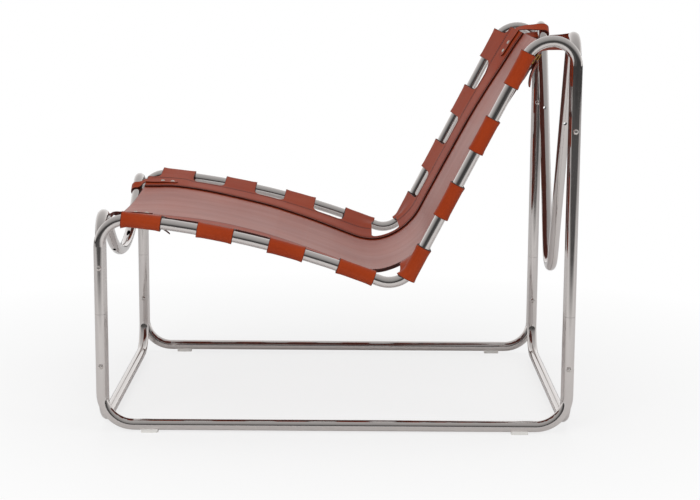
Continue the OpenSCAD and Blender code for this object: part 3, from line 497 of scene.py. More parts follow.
# %% Where the tabs and notches are
# The tabs were cut by hand, so the two strips differ by a few millimetres
TAB_LENGTH, NOTCH_EDGE, ROOT_R = 0.072, 0.068, 0.014
CORNER_EDGE, CORNER_ROOT_R = 0.1215, 0.009
TABS = {
    "left": np.array([
        (-15, 62.5), (132.5, 203), (273.5, 345), (414, 488.5),
        (552, 622), (688.5, 760), (831, 903), (972.5, 1044.5)]) / 1000,
    "right": np.array([
        (-11, 64), (136, 208), (277, 349), (421.5, 493.5),
        (559, 631), (698, 770), (841, 913), (986, 1058)]) / 1000}
CORNER = 3  # The seat's corner lies after this tab, counted from 0
CAD_TAB_FROM = np.array([
    -12, 133.498, 278.997, 424.495, 554.995, 695.995, 836.995, 977.995]) / 1000


def within(s, starts, ends):
    """Whether each place lies between some start and its end."""
    return ((s[..., None] > starts) & (s[..., None] < ends)).any(-1)


# %% Panel between the strips
PANEL_DROP, PANEL_EDGE, EDGE_LINE = LEATHER + LAY_GAP, 0.062, 0.0665
EDGE_DROP, DROP_FROM, DROP_RAMP = 0.0006, 0.070, 0.006
PANEL_NOTCH_EDGE, PANEL_CORNER_EDGE, SEAM_D = 0.0705, 0.1245, 0.077
FURROW_DEPTH, FURROW_HALF, FURROW_SHIFT = 0.0012, 0.005, 0.002
# The grid's lines lie close together at the strip's edge
CLOSE_FROM, CLOSE_TO, CLOSE_STEP = 0.126, 0.146, 0.0015
s_lines = np.unique(np.concatenate(
    [np.linspace(SLING_FRONT, SLING_TOP, 249), *TABS.values()], axis=None))
half_lines = SIDE_X - np.concatenate([
    [PANEL_EDGE, EDGE_LINE, PANEL_NOTCH_EDGE], np.linspace(SEAM_D, PANEL_CORNER_EDGE, 8),
    np.arange(CLOSE_FROM, CLOSE_TO, CLOSE_STEP),
    np.linspace(CLOSE_TO + 2 * CLOSE_STEP, SIDE_X, 31)])
x_lines = np.concatenate([half_lines, -half_lines[-2::-1]])
S, X = np.meshgrid(s_lines, x_lines, indexing="ij")
inward = SIDE_X - np.abs(X)
drop = PANEL_DROP + EDGE_DROP * smoothstep((DROP_FROM - inward) / DROP_RAMP)
# Pulled down a little along the strip's edge, which throws a line of shadow there
drop = drop + FURROW_DEPTH * np.exp(-((inward - STRIP_REACH - FURROW_SHIFT) / FURROW_HALF) ** 2)
# The panel goes from the raised strip on the left to the one on the right
left_share = np.clip((X + SIDE_X - STRIP_REACH) / (SIDE_X - STRIP_REACH) / 2, 0, 1)
panel_grid = sling_point(S, inward, -drop, near_raise(S) * left_share)
panel_grid[..., 0] = X
panel_edge = np.minimum.reduce([S - SLING_FRONT, SLING_TOP - S, inward - PANEL_EDGE])
# In the notches the panel stays a little inside the strip, and more so at the seat's corner
cell_s, cell_x = (S[1:, 1:] + S[:-1, 1:]) / 2, (X[1:, 1:] + X[1:, :-1]) / 2
panel_keep = np.ones(cell_s.shape, bool)
for tabs, sign in ((TABS["left"], 1), (TABS["right"], -1)):
    cell_d = SIDE_X - cell_x * sign
    panel_keep &= ~(within(cell_s, tabs[:-1, 1], tabs[1:, 0]) & (cell_d < PANEL_NOTCH_EDGE))
    in_corner = within(cell_s, tabs[CORNER, 1], tabs[CORNER + 1, 0])
    panel_keep &= ~(in_corner & (cell_d < PANEL_CORNER_EDGE))
panel = grid_piece("panel", panel_grid, panel_keep, np.stack([S, X], -1), panel_edge)
thicken(panel, (seat_leather, flesh, cut_edge))
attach(panel, "chair")
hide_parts("sling_panel")
middle_steps = np.diff(panel_grid[:, len(half_lines) - 1], axis=0)
long = float(np.linalg.norm(middle_steps, axis=1).sum())

# %% [markdown]
# ## The side strips and their tabs
# Each strip is one long piece of leather with eight tabs, which go over the tube, round it and
# back under the panel to the stitch row. Cutting U shaped notches from a finished sheet needs
# booleans. Here the grid has three parts across it, the band inside, the part up to the notches
# and the tabs round the tube, and cells are left out where the notches are.

# %% Places of the grid along a strip


def strip_columns(tabs):
    """Places along the strip: close together at the rounded roots of the tabs."""
    rounded = ROOT_R * (1 - np.cos(np.linspace(0, np.pi / 2, 7)))
    parts = [np.linspace(SLING_FRONT, tabs[0, 0] - ROOT_R, 4)[:-1]]
    for a, b in tabs:
        parts += [a - rounded[::-1], np.linspace(a, b, 17)[1:-1], b + rounded]
    parts.append(np.linspace(tabs[-1, 1] + ROOT_R, SLING_TOP, 5)[1:])
    for b, a in zip(tabs[:-1, 1], tabs[1:, 0]):
        parts.append(np.linspace(b + ROOT_R, a - ROOT_R, 11)[1:-1])
    return np.unique(np.round(np.concatenate(parts), 6))


# %% Profile of the strip at each column
# The angle round the tube where a tab starts to go underneath, and over how much of a turn
UNDER_FROM, UNDER_TURN = 2.6, 1.1


def root_edge(base, gap, r=ROOT_R):
    """A straight edge at base that turns into the tab's side with a quarter circle of radius r."""
    t = np.clip(gap / r, 0, 1)
    return base - r * (1 - np.sqrt(1 - (1 - t) ** 2))


def tab_profile(s, w, flare, raised):
    """Distance in and height of a tab's points at place s, for w from 0 at the notch line to 1 at
    the end under the panel: a line to the tube, a loop round it, and a line back to the seam."""
    e = edge_height(s) + raised
    up_from = tangent_angle(STRIP_REACH, e)
    seam_h = sling_height(s, SEAM_D, raised) - 2 * PANEL_DROP - EDGE_DROP
    down_to = 2 * np.pi + np.arctan2(seam_h, SEAM_D) - np.arccos(LOOP_R / np.hypot(seam_h, SEAM_D))
    straight = on_loop_line(s)
    r = LOOP_R + flare
    lead = NOTCH_EDGE - ROOT_R
    one, two, three = lead, r * (down_to - up_from), SEAM_D
    q = w * (one + two + three)
    a = up_from + np.clip((q - one) / two, 0, 1) * (down_to - up_from)
    out, back = np.maximum(straight[2], 0), np.minimum(straight[2], 0)
    d = r * np.cos(a)
    h = r * np.sin(a) + (out + (back - out) * smoothstep((a - UNDER_FROM) / UNDER_TURN))
    near, far = np.clip(q / one, 0, 1), np.clip((q - one - two) / three, 0, 1)
    start_h = sling_height(s, lead, raised)
    to_seam_d = np.where(q > one + two, d + (SEAM_D - d) * far, d)
    to_seam_h = np.where(q > one + two, h + (seam_h - h) * far, h)
    d = np.where(q < one, lead + (r * np.cos(up_from) - lead) * near, to_seam_d)
    h = np.where(q < one, start_h + (h - start_h) * near, to_seam_h)
    return d, h, straight


def bend_rise(r, t):
    """How far a bend's inner side lies off the straight line, at distance t from the bend's end."""
    return r - TUBE_R - np.sqrt(np.clip((r - TUBE_R) ** 2 - t * t, 0, None))


def on_loop_line(s):
    """The line that a tab's loop follows, straight on where the tube bends away, its heading, and
    how far the tube's inner side lies off it."""
    in_bend = (s > (bend_from + bend_to) / 2) & (s < bend_to)
    own = np.where(in_bend, bend_to, np.clip(s, 0, crown_from))
    p, a = rail_at(own)
    off = np.where(in_bend, bend_rise(BEND_R, bend_to - s), 0)
    off = off - np.where(s < 0, bend_rise(BEND_R, s), 0)
    off = off - np.where(s > crown_from, bend_rise(crown_r, s - crown_from), 0)
    return ahead(p, a, s - own), a, off


# %% Build one strip
# The last is the half width of the shade painted along each stitch row
STITCH_INNER, STITCH_ROOT, SHADE_ROW_HALF = 0.128, 0.0735, 0.0026
GROOVE_DEPTH, GROOVE_HALF, SLACK = 0.00035, 0.0014, 1e-6
TAB_FLARE, FLARE_REACH = 0.0009, 0.012
# Shares of a tab's way round: where its foot starts and how long it is, and where its lead-in ends
FOOT_FROM, FOOT_LONG, LEAD_END = 0.62, 0.36, 0.25
INNER_ROWS = np.array([0.133, 0.1315, 0.130, 0.129, 0.128, 0.127, 0.126, 0.1245])
ROOT_SHARES = np.array([0.1, 0.25, 0.4, 0.55, 0.68, 0.78, 0.85, 0.895, 0.915, 0.94, 0.97, 1.0])
WRAP_SHARES = np.linspace(0, 1, 49)[1:]


def strip_shape(side):
    """Grid of points, kept cells, UV map, distance to the nearest cut edge, and the share of
    painted shade along the stitch rows.
    """
    tabs = TABS[side]
    columns = strip_columns(tabs)
    s = columns[:, None]
    raised = side_raise(side, s)
    middles = (columns[1:] + columns[:-1]) / 2
    in_corner = within(middles, tabs[CORNER, 1], tabs[CORNER + 1, 0])
    to_tab = np.maximum(tabs[:, 0] - s, s - tabs[:, 1]).min(1)
    at_corner = within(columns, tabs[CORNER, 1] - SLACK, tabs[CORNER + 1, 0] + SLACK)
    corner_gap = np.where(at_corner, to_tab, 0)
    band_edge = root_edge(CORNER_EDGE, corner_gap, CORNER_ROOT_R)
    notch_edge = root_edge(NOTCH_EDGE, to_tab)
    inner = len(INNER_ROWS)
    d_inner = np.broadcast_to(INNER_ROWS, (len(columns), inner))
    d_root = band_edge[:, None] + (notch_edge - band_edge)[:, None] * ROOT_SHARES
    flat_d = np.concatenate([d_inner, band_edge[:, None], d_root], 1)
    flat = flat_d.shape[1]
    stitch_d = np.array([STITCH_INNER, STITCH_ROOT])
    groove = sum(np.exp(-((flat_d - at) / GROOVE_HALF) ** 2) for at in stitch_d)
    band_points = sling_point(s, flat_d, -GROOVE_DEPTH * groove, raised)
    end_gap = np.minimum(s - tabs[:, 0], tabs[:, 1] - s).max(1)
    flare = TAB_FLARE * smoothstep(1 - np.clip(end_gap, 0, None) / FLARE_REACH)[:, None]
    tab_d, tab_h, loop = tab_profile(s, WRAP_SHARES, flare, raised)
    tab_points = beside_line(loop[:2], tab_d, tab_h)
    # Past the tube the tab's foot goes from the loop's own line to the sling's line
    foot = smoothstep((WRAP_SHARES - FOOT_FROM) / FOOT_LONG)[None, :, None]
    lead_in = smoothstep(1 - WRAP_SHARES / LEAD_END)[None, :, None]
    sling_side = sling_point(s, tab_d, tab_h - sling_height(s, tab_d, raised), raised)
    tab_points = tab_points + (sling_side - tab_points) * np.maximum(foot, lead_in)
    grid = np.concatenate([band_points, tab_points], 1)
    keep = np.zeros((len(columns) - 1, grid.shape[1] - 1), bool)
    keep[:, :inner] = True
    keep[~in_corner, inner:flat - 1] = True
    keep[within(middles, *tabs.T), flat - 1:] = True
    steps = np.linalg.norm(np.diff(grid, axis=1), axis=2)
    across = np.concatenate([np.zeros((len(columns), 1)), np.cumsum(steps, 1)], 1)
    uv = np.stack([np.broadcast_to(s, across.shape), across], -1)
    beside = end_gap[:, None] > -SLACK
    to_cut = np.minimum(STRIP_REACH - flat_d, np.where(beside, 1, flat_d - notch_edge[:, None]))
    corner_cut = np.minimum(STRIP_REACH - flat_d, flat_d - CORNER_EDGE)
    to_cut = np.where(corner_gap[:, None] > 0, corner_cut, to_cut)
    to_side = np.where(beside, np.clip(end_gap, 0, None)[:, None], 1)
    tab_cut = np.minimum(to_side, across[:, -1:] - across[:, flat:])
    to_end = np.minimum(s - SLING_FRONT, SLING_TOP - s)
    edge = np.minimum(np.concatenate([to_cut, tab_cut], 1), to_end)
    # Where shade is painted along the two stitch rows: a bell across each row, and none on the tabs
    row = sum(np.exp(-((flat_d - at) / SHADE_ROW_HALF) ** 2) for at in stitch_d)
    row = np.concatenate([np.minimum(row, 1), np.zeros(tab_cut.shape)], 1)
    return grid, keep, uv, edge, row


# %% The strips as pieces
for side in TABS:
    shape = strip_shape(side)
    if side == "left":
        shape = [a[:, ::-1] for a in shape]
    grid, keep, uv, edge, row = shape
    strip = grid_piece(f"{side}_strip", grid * SIDES[side], keep, uv, edge, row=row)
    thicken(strip, (strip_leather, flesh, cut_edge))
    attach(strip, "chair")
    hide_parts(f"{side}_sling_strip")

# %% [markdown]
# ## Stitches
# Two rows of waxed thread hold each strip: one close to its inner edge and one along the feet of
# the tabs. A stitch is a short arch of thread whose ends dive into the leather. One stitch with a
# few dozen faces is worked out and carried to hundreds of places at once.

# %% A row of stitches


def one_stitch(long=0.0031, thick=0.00085, rise=0.0003, sides=6, rings=6):
    """Points and faces of one stitch along X: rings on an arch, closed to a point at both ends."""
    t = np.linspace(0, 1, rings)
    r = thick * np.sqrt(np.sin(np.pi * np.clip(t, 0.02, 0.98)))
    turn = np.arange(sides) / sides * 2 * np.pi
    x = np.repeat((t - 0.5) * long, sides)
    z = (rise * np.sin(np.pi * t) - rise)[:, None] + r[:, None] * np.cos(turn)
    points = np.stack([x, (r[:, None] * np.sin(turn)).ravel(), z.ravel()], 1)
    i, j = np.mgrid[0:rings - 1, 0:sides]
    k = (j + 1) % sides
    quads = sides * np.stack([i, i, i + 1, i + 1], -1) + np.stack([j, k, k, j], -1)
    caps = [list(range(sides))[::-1], list(range((rings - 1) * sides, rings * sides))]
    return points, quads.reshape(-1, 4), caps


def stitch_row(name, start, end, normal):
    """A stitch between each pair of points start[k] and end[k], raised along normal[k]."""
    points, quads, caps = one_stitch()
    along = unit(end - start)
    side = unit(np.cross(normal, along))
    base = np.stack([along, side, np.cross(along, side)], 1)
    stitches = np.einsum("pc,ncx->npx", points, base) + ((start + end) / 2)[:, None]
    offset = np.arange(len(start))[:, None, None] * len(points)
    faces = (quads + offset).reshape(-1, 4).tolist()
    faces += [[v + k * len(points) for v in cap] for k in range(len(start)) for cap in caps]
    piece = new_piece(name, stitches.reshape(-1, 3), faces)
    piece.data.materials.append(thread)
    return piece


# %% Stitches of both strips, on top and underneath
STITCH_SHIFT, STITCH_STEP, UP_STEP = 0.18, 0.003, 0.001
END_CLEAR, TAB_CLEAR = 0.006, 0.002


def stitch_ends(side, d, lift, skip_corner=False, only_tabs=False):
    """Start, end and normal of each stitch of the row at distance d from the tube."""
    tabs = TABS[side]
    first, last = (SLING_FRONT + END_CLEAR) / STITCH_PITCH, (SLING_TOP - END_CLEAR) / STITCH_PITCH
    s = (np.arange(math.ceil(first), last) + STITCH_SHIFT) * STITCH_PITCH
    if skip_corner:
        s = s[~within(s, tabs[CORNER, 1] - END_CLEAR, tabs[CORNER + 1, 0] + STITCH_STEP)]
    if only_tabs:
        s = s[within(s, tabs[:, 0] + TAB_CLEAR, tabs[:, 1] - END_CLEAR)]
    raised = side_raise(side, s)
    a, b = (sling_point(at, d, lift, raised) for at in (s, s + STITCH_STEP))
    up = sling_point(s, d, lift + UP_STEP, raised) - a
    return a, b, up * np.sign(lift)


over, under = LEATHER / 2 - GROOVE_DEPTH, -LEATHER / 2 - PANEL_DROP
stitch_count = 0
for side in TABS:
    rows = [
        stitch_ends(side, STITCH_INNER, over),
        stitch_ends(side, STITCH_ROOT, over, skip_corner=True),
        stitch_ends(side, STITCH_INNER, under),
        stitch_ends(side, STITCH_ROOT, under - PANEL_DROP - EDGE_DROP, only_tabs=True)]
    a, b, up = (np.concatenate(part) * SIDES[side] for part in zip(*rows))
    seam = stitch_row(f"{side}_stitches", a, b, up)
    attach(seam, "chair")
    stitch_count += len(a)
print("stitches:", stitch_count)

# %% [markdown]
# ## Straps and chapes
# Four straps, riveted on the sling's corners, go round the cross frames and come back to buckles
# under the leather. A smooth curve through stations, each a place with an across and an outward
# direction, carries a rounded oblong. The stations come from the same frames as the CAD buckle.

# %% Frames on the drawn sling
STRAP_D, STRAP_W, STRAP_T, CHAPE_T, STRAP_GAP = 0.105, 0.020, 0.0026, 0.0025, 0.00035
WIRE_R, BUCKLE_LONG, FOLD_GAP, CHAPE_GAP = 0.0016, 0.020, 0.0003, 0.0009
FOLD_R = WIRE_R + FOLD_GAP + CHAPE_T / 2
UNDER_SLING = LEATHER / 2 + LAY_GAP + LEATHER + STRAP_GAP
BUCKLE_DROP = UNDER_SLING + CHAPE_GAP + CHAPE_T / 2 + FOLD_R
STRAP_LIFT = LEATHER / 2 + STRAP_GAP + STRAP_T / 2
# Below, toward is -1 at the front end of the sling and 1 at its top end
HEEL, TIP = {-1: 0.014, 1: 1.030}, {-1: 0.0341, 1: 1.0099}
SLING_END = {-1: SLING_FRONT, 1: SLING_TOP}
TAIL_LONG, TAIL_FALL = {-1: 0.052, 1: 0.038}, {-1: 0.020, 1: 0.012}
# Places along the buckle from its heel bar, where the strap goes over and then under its wire
OVER_BAR, UNDER_HEEL = (0.0264, BUCKLE_LONG, 0.016), (0.005, -0.004)
# Places back from the heel bar of the chape's upper layer, its fold's end and its lower layer
CHAPE_FLAT, FOLD_END, CHAPE_BACK = (0.044, 0.0045), 0.0035, (0.014, 0.022, 0.030, 0.039)
# The CAD sling has a station at both ends of each tab and one between them, which lies nearer the
# start on the first tab of the seat and of the back
cad_stations = np.concatenate([
    [SLING_FRONT, (SLING_FRONT + CAD_TAB_FROM[0]) / 2],
    *[[a, a + TAB_LENGTH * (0.5 if k % 4 else 0.23), a + TAB_LENGTH]
      for k, a in enumerate(CAD_TAB_FROM)],
    [(SLING_TOP + LAST_TAB_END) / 2, SLING_TOP]])


def drawn_point(s, d):
    """The CAD sling at place s, which is straight between its stations."""
    p, a = sling_at(cad_stations)
    sag = np.interp(cad_stations, SAG_PLACES, SAG_DEPTHS)
    h = LOOP_R - (LOOP_R + sag) * d / STRIP_REACH
    line = p + h[:, None] * np.stack([-np.sin(a), np.cos(a)], 1)
    return np.array([SIDE_X - d, *read_line(s, cad_stations, line)])


def sling_frame(s, lift, s_from, s_to):
    """Place and across, along and up directions of a piece that lies on the sling."""
    along = unit(drawn_point(s_to, STRAP_D) - drawn_point(s_from, STRAP_D))
    side = drawn_point(s, STRAP_D - STRAP_W) - drawn_point(s, STRAP_D)
    across_way = unit(side - along * (side @ along))
    up = np.cross(across_way, along)
    return drawn_point(s, STRAP_D) + up * lift, across_way, along, up


def buckle_frame(toward):
    """The buckle's own frame: its heel bar lies along the first direction through the origin."""
    s = HEEL[toward]
    bar = s + toward * BUCKLE_LONG
    o, x, y, z = sling_frame(s, -BUCKLE_DROP, min(s, bar), max(s, bar))
    return o, x * toward, y * toward, z


print("buckles at", *(np.round(buckle_frame(k)[0], 4) for k in (-1, 1)))

# %% Stations of a strap


def on_sling(s, lift):
    """Station on the sling: place, across and outward directions."""
    k = max(int(np.searchsorted(cad_stations, s, "right")) - 1, 0)
    k = min(k, len(cad_stations) - 2)
    o, x, _, z = sling_frame(s, lift, cad_stations[k], cad_stations[k + 1])
    return o, x, z


def at_buckle(y, z, angle, toward):
    """Station in the buckle's frame, whose outward direction is turned by angle from along."""
    o, x, along, up = buckle_frame(toward)
    a = math.radians(angle)
    return o + along * y + up * z, x * toward, along * math.cos(a) + up * math.sin(a)


CROSS_X, FRONT_TOP, FRONT_SHOULDER_R, DIP_Z, DIP_R = 0.3277, 0.4225, 0.040, 0.310, 0.350
REAR_TOP, REAR_SHOULDER_R, REAR_SLOPE, ARM_GAP = 0.775, 0.038, math.pi / 4, 0.0006
# A front arm falls along the line that touches its shoulder and the dip
arm_reach, arm_rise = CROSS_X - FRONT_SHOULDER_R, FRONT_TOP - FRONT_SHOULDER_R - (DIP_Z + DIP_R)
touch = math.asin((FRONT_SHOULDER_R + DIP_R) / math.hypot(arm_reach, arm_rise))
FALL = math.atan2(arm_rise, arm_reach) + touch
front_x = SIDE_X - STRAP_D
front_z = DIP_Z + DIP_R - DIP_R / math.cos(FALL) + front_x * math.tan(FALL)
rear_x = CROSS_X - REAR_SHOULDER_R * (1 + math.sin(REAR_SLOPE))
rear_z = REAR_TOP - REAR_SHOULDER_R * (1 - math.cos(REAR_SLOPE))
bulge = REAR_SHOULDER_R - math.sqrt(REAR_SHOULDER_R ** 2 - (STRAP_W / 2) ** 2)
# Slope of the arm, its middle, and how far its bend bulges under the strap's width
WRAPS = {
    -1: (FALL, np.array([front_x, -LEG_Y, front_z]), 0),
    1: (REAR_SLOPE, np.array([rear_x, LEG_Y, rear_z]), bulge)}


def round_arm(angle, toward):
    """Station on the circle round the cross frame's arm."""
    t, middle, more = WRAPS[toward]
    a = math.radians(angle)
    out = np.array([-math.sin(t) * math.cos(a), toward * math.sin(a), math.cos(t) * math.cos(a)])
    place = middle + (TUBE_R + ARM_GAP + STRAP_T / 2 + more) * out
    return place, np.array([math.cos(t), 0, math.sin(t)]), out


def between(one, two, reach, toward, count):
    """Stations on a curve that leaves one and reaches two in their own directions of travel."""
    m = (np.arange(1, count) / count)[:, None]
    go = [-toward * np.cross(st[1], st[2]) for st in (one, two)]
    p = one[0] * (1 - m) ** 3 + (one[0] + go[0] * reach) * 3 * m * (1 - m) ** 2
    p = p + (two[0] - go[1] * reach) * 3 * m * m * (1 - m) + two[0] * m ** 3
    x = unit(one[1] * (1 - m) + two[1] * m)
    z = one[2] * (1 - m) + two[2] * m
    z = unit(z - x * (z * x).sum(1, keepdims=True))
    return list(zip(p, x, z))


def strap_path(toward):
    """Stations from the strap's riveted tip round the arm to the tail under the buckle."""
    top = [on_sling(s, STRAP_LIFT) for s in np.linspace(TIP[toward], SLING_END[toward], 9)]
    wrapped = [round_arm(a, toward) for a in range(-10, 201, 30)]
    above = WIRE_R + LAY_GAP + STRAP_T / 2
    below = FOLD_R + CHAPE_T / 2 + STRAP_GAP + STRAP_T / 2
    inside = [(y, above) for y in OVER_BAR] + [(y, -below) for y in UNDER_HEEL]
    for k in (0.2, 0.4, 0.6, 0.8, 1.0):
        y = UNDER_HEEL[-1] - TAIL_LONG[toward] * k
        inside.append((y, -below - TAIL_FALL[toward] * k * k))
    inside = [at_buckle(y, z, -90, toward) for y, z in inside]
    return (top + between(top[-1], wrapped[0], STRAP_W / 3, toward, 3) + wrapped
            + between(wrapped[-1], inside[0], STRAP_W / 2, toward, 4) + inside)


def chape_path(toward):
    """Stations from under the sling, round the heel bar and back, facing the other way."""
    heel, lift = HEEL[toward], -UNDER_SLING - CHAPE_T / 2
    first, last = (heel - toward * y for y in CHAPE_FLAT)
    flat = [on_sling(s, lift) for s in np.linspace(first, last, 6)]
    fold = [at_buckle(FOLD_R * math.cos(a), FOLD_R * math.sin(a), math.degrees(a), toward)
            for a in np.radians(np.arange(90, -91, -22.5))]
    fold.append(at_buckle(-FOLD_END, -FOLD_R, -90, toward))
    back = [on_sling(heel - toward * y, lift - CHAPE_T - 3 * LAY_GAP) for y in CHAPE_BACK]
    return flat + fold + [(o, x, -z) for o, x, z in back]


# %% A band along stations


def through(t, values, at):
    """A smooth curve through values at t: cubic pieces whose slopes are those of the neighbours."""
    slope = np.gradient(values, t, axis=0)
    k = np.clip(np.searchsorted(t, at, "right") - 1, 0, len(t) - 2)
    h = (t[k + 1] - t[k])[:, None]
    m = ((at - t[k]) / (t[k + 1] - t[k]))[:, None]
    return ((1 + 2 * m) * (1 - m) ** 2 * values[k] + m * (1 - m) ** 2 * h * slope[k]
            + m * m * (3 - 2 * m) * values[k + 1] + m * m * (m - 1) * h * slope[k + 1])


def band_shape(path, width, thick, tip=0.009, step=0.0012, r=0.0007):
    """Grid, UV map, distance to the edge and length of a flat strap: an oblong with corners of
    radius r, whose width follows a half ellipse near both ends."""
    p, x, z = (np.array([st[k] for st in path]) for k in range(3))
    t = np.concatenate([[0], np.cumsum(np.linalg.norm(np.diff(p, axis=0), axis=1))])
    ends = np.sin(np.linspace(0, np.pi / 2, 8)) * tip
    straight = np.linspace(tip, t[-1] - tip, int(t[-1] / step))
    at = np.unique(np.concatenate([tip - ends, straight, t[-1] - tip + ends]))
    p, x, z = through(t, p, at), unit(through(t, x, at)), through(t, z, at)
    z = unit(z - x * (z * x).sum(1, keepdims=True))
    near = np.clip(np.minimum(at, at[-1] - at) / tip, 0, 1)
    half = width / 2 * np.sqrt(np.clip(1 - (1 - near) ** 2, 0.012, 1))
    turn = np.radians([0, 30, 60, 90])
    cx, cz = np.cos(turn) * r, np.sin(turn) * r
    flat = np.linspace(0.72, -0.72, 4)
    ones = np.ones(4)
    # Signs of the half width, then the small offsets, round one half of the oblong
    halves = (
        np.concatenate([ones, flat, -ones]), np.concatenate([cx - r, 0 * ones, r - cx[::-1]]),
        np.concatenate([thick / 2 - r + cz, thick / 2 * ones, thick / 2 - r + cz[::-1]]))
    sx, ox, oz = (np.concatenate([h, -h]) for h in halves)
    grow = (half / (width / 2))[:, None]
    gx = sx * half[:, None] + ox * grow
    gz = np.broadcast_to(oz, gx.shape)
    grid = p[:, None] + x[:, None] * gx[..., None] + z[:, None] * gz[..., None]
    uv = np.stack([np.broadcast_to(at[:, None], gx.shape), gx], -1)
    edge = np.broadcast_to(np.clip(half[:, None] - np.abs(gx), 0, None), gx.shape)
    return grid, uv, edge, float(at[-1])


def close_ends(piece, rows, columns):
    """Puts a face on each end of a ringed grid."""
    b = bmesh.new()
    b.from_mesh(piece.data)
    b.verts.ensure_lookup_table()
    b.faces.new(b.verts[:columns])
    b.faces.new(b.verts[(rows - 1) * columns:rows * columns][::-1])
    bmesh.ops.recalc_face_normals(b, faces=b.faces)
    b.to_mesh(piece.data)
    b.free()


# %% Cut holes


def peg(here, y_place, z_place, radius, long, sides=24):
    """A closed cylinder along the up direction of a frame, used as a cutter."""
    o, x, y, z = here
    axis = unit(z)
    one = unit(np.cross(axis, x))
    two = np.cross(axis, one)
    c = o + y * y_place + z * z_place
    a = np.arange(sides) / sides * 2 * np.pi
    ring = radius * (np.cos(a)[:, None] * one + np.sin(a)[:, None] * two)
    points = np.concatenate([c - axis * long / 2 + ring, c + axis * long / 2 + ring])
    faces = [[k, (k + 1) % sides, sides + (k + 1) % sides, sides + k] for k in range(sides)]
    return points, faces + [list(range(sides))[::-1], list(range(sides, 2 * sides))]


def block(here, low, high):
    """A closed box between two corners given in a frame, used as a cutter."""
    o, x, y, z = here
    corners = np.stack(np.meshgrid(*zip(low, high), indexing="ij"), -1).reshape(8, 3)
    faces = [[0, 1, 3, 2], [4, 6, 7, 5], [0, 4, 5, 1], [2, 3, 7, 6], [0, 2, 6, 4], [1, 5, 7, 3]]
    return o + corners @ np.stack([x, y, z]), faces


def punch(piece, points, faces):
    """Takes a cutter out of a piece with a boolean, and applies it."""
    cutter = new_piece("cutter", points, faces, smooth=False)
    hole = piece.modifiers.new("holes", "BOOLEAN")
    hole.operation, hole.object, hole.solver = "DIFFERENCE", cutter, "EXACT"
    bpy.context.view_layer.update()
    done = piece.evaluated_get(bpy.context.evaluated_depsgraph_get())
    cut = bpy.data.meshes.new_from_object(done)
    piece.modifiers.clear()
    piece.data = cut
    bpy.data.objects.remove(cutter)


# %% Straps and chapes on both sides and at both ends
SLOT_LOW, SLOT_HIGH = (-0.0023, -0.004, -0.012), (0.0023, 0.0165, 0.006)
HOLES, HOLE_LOW, HOLE_R, HOLE_LONG = (-0.022, -0.040), -0.004, 0.0018, 0.03
CHAPE_SLOT, CHAPE_SLOT_R, CHAPE_SLOT_LONG = (0.0005, 0.003, 0.0055), 0.0022, 0.016
for end, toward in (("front", -1), ("top", 1)):
    for what, path, width, thick, slot_name in (
            ("strap", strap_path(toward), STRAP_W, STRAP_T, "strap_leather"),
            ("chape", chape_path(toward), 0.9 * STRAP_W, CHAPE_T, "chape_leather")):
        *maps, long = band_shape(path, width, thick)
        if toward > 0:
            maps = [m[:, ::-1] for m in maps]
        for side in SIDES:
            if side == "right":
                maps = [m[:, ::-1] for m in maps]
            grid, uv, edge = maps
            name = f"{side}_{end}_{what}_leather"
            band = grid_piece(name, grid * SIDES[side], uv=uv, edge=edge, ring=True)
            close_ends(band, *grid.shape[:2])
            for m in (strap_leather, flesh, cut_edge):
                band.data.materials.append(m)
            here = [v * SIDES[side] for v in buckle_frame(toward)]
            if what == "strap":
                punch(band, *block(here, SLOT_LOW, SLOT_HIGH))
                for y in HOLES:
                    punch(band, *peg(here, y, HOLE_LOW, HOLE_R, HOLE_LONG))
            else:
                for y in CHAPE_SLOT:
                    punch(band, *peg(here, y, 0, CHAPE_SLOT_R, CHAPE_SLOT_LONG))
            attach(band, "chair")
            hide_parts(f"{side}_{end}_{what}")
        print(end, what, round(long, 3), "m")

# %% [markdown]
# ## Metal and plastic
# Chromed tube mirrors the room, so its look depends more on what stands around it than on its own
# colour. It still has polishing marks and slight haze. The CAD shapes only get a finish here.

# %% Metal finishes


def worn_finish(name, colour, fine, rough, strength, metallic=0.0, hazy=None):
    """A hard finish whose bump follows noise of the scale fine, and whose roughness follows that
    noise or a coarser one of the scale hazy."""
    material, tree, shader = new_finish(name)
    place = add(tree, "TexCoord").outputs["Object"]
    marks = noise(tree, place, fine, 2.0)
    haze = noise(tree, place, hazy, 3.0) if hazy else marks
    feed(tree, shader, {
        "Base Color": paint(*colour), "Metallic": metallic,
        "Normal": bump(tree, marks, strength, 0.0001), "Roughness": spread(tree, haze, *rough)})
    return material


def metal_finish(name, colour, rough_from, rough_to, scratch=0.02):
    rough = (0.35, 0.7, rough_from, rough_to)
    return worn_finish(name, colour, 840.0, rough, scratch, 1.0, 60.0)


chrome = metal_finish("polished chrome", (222, 216, 213), 0.06, 0.12, 0.003)
screw_chrome = metal_finish("screw chrome", (222, 216, 212), 0.12, 0.2)
spigot_steel = metal_finish("spigot steel", (150, 148, 146), 0.3, 0.45, 0.1)
brass = metal_finish("brass", (214, 176, 92), 0.18, 0.3, 0.05)
rivet_nickel = metal_finish("rivet nickel", (214, 208, 200), 0.25, 0.4, 0.05)
glide_white = worn_finish(
    "white glide plastic", (232, 230, 226), 1500.0, (0.3, 0.7, 0.35, 0.5), 0.1)
FINISHES = {
    "tube": chrome, "spigots": spigot_steel, "bolts": screw_chrome, "nuts": screw_chrome,
    "glide": glide_white, "buckle": brass, "prong": brass, "rivets": rivet_nickel}
for name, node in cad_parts.items():
    kind = name.rsplit("_", 1)[-1]
    if kind in FINISHES:
        for s in node.material_slots:
            s.material = FINISHES[kind]
print("finishes of CAD nodes:", len(FINISHES))

# %% [markdown]
# ## Floor, background and light
# The photograph has no line between floor and wall. A curved backdrop could be built. A flat floor
# is simpler: it shows soft shadows near the chair and turns to plain white further out, where it
# meets a white sky.

# %% Floor
FLOOR_HALF, WHITE = 8.0, (1.0, 1.0, 1.0, 1.0)
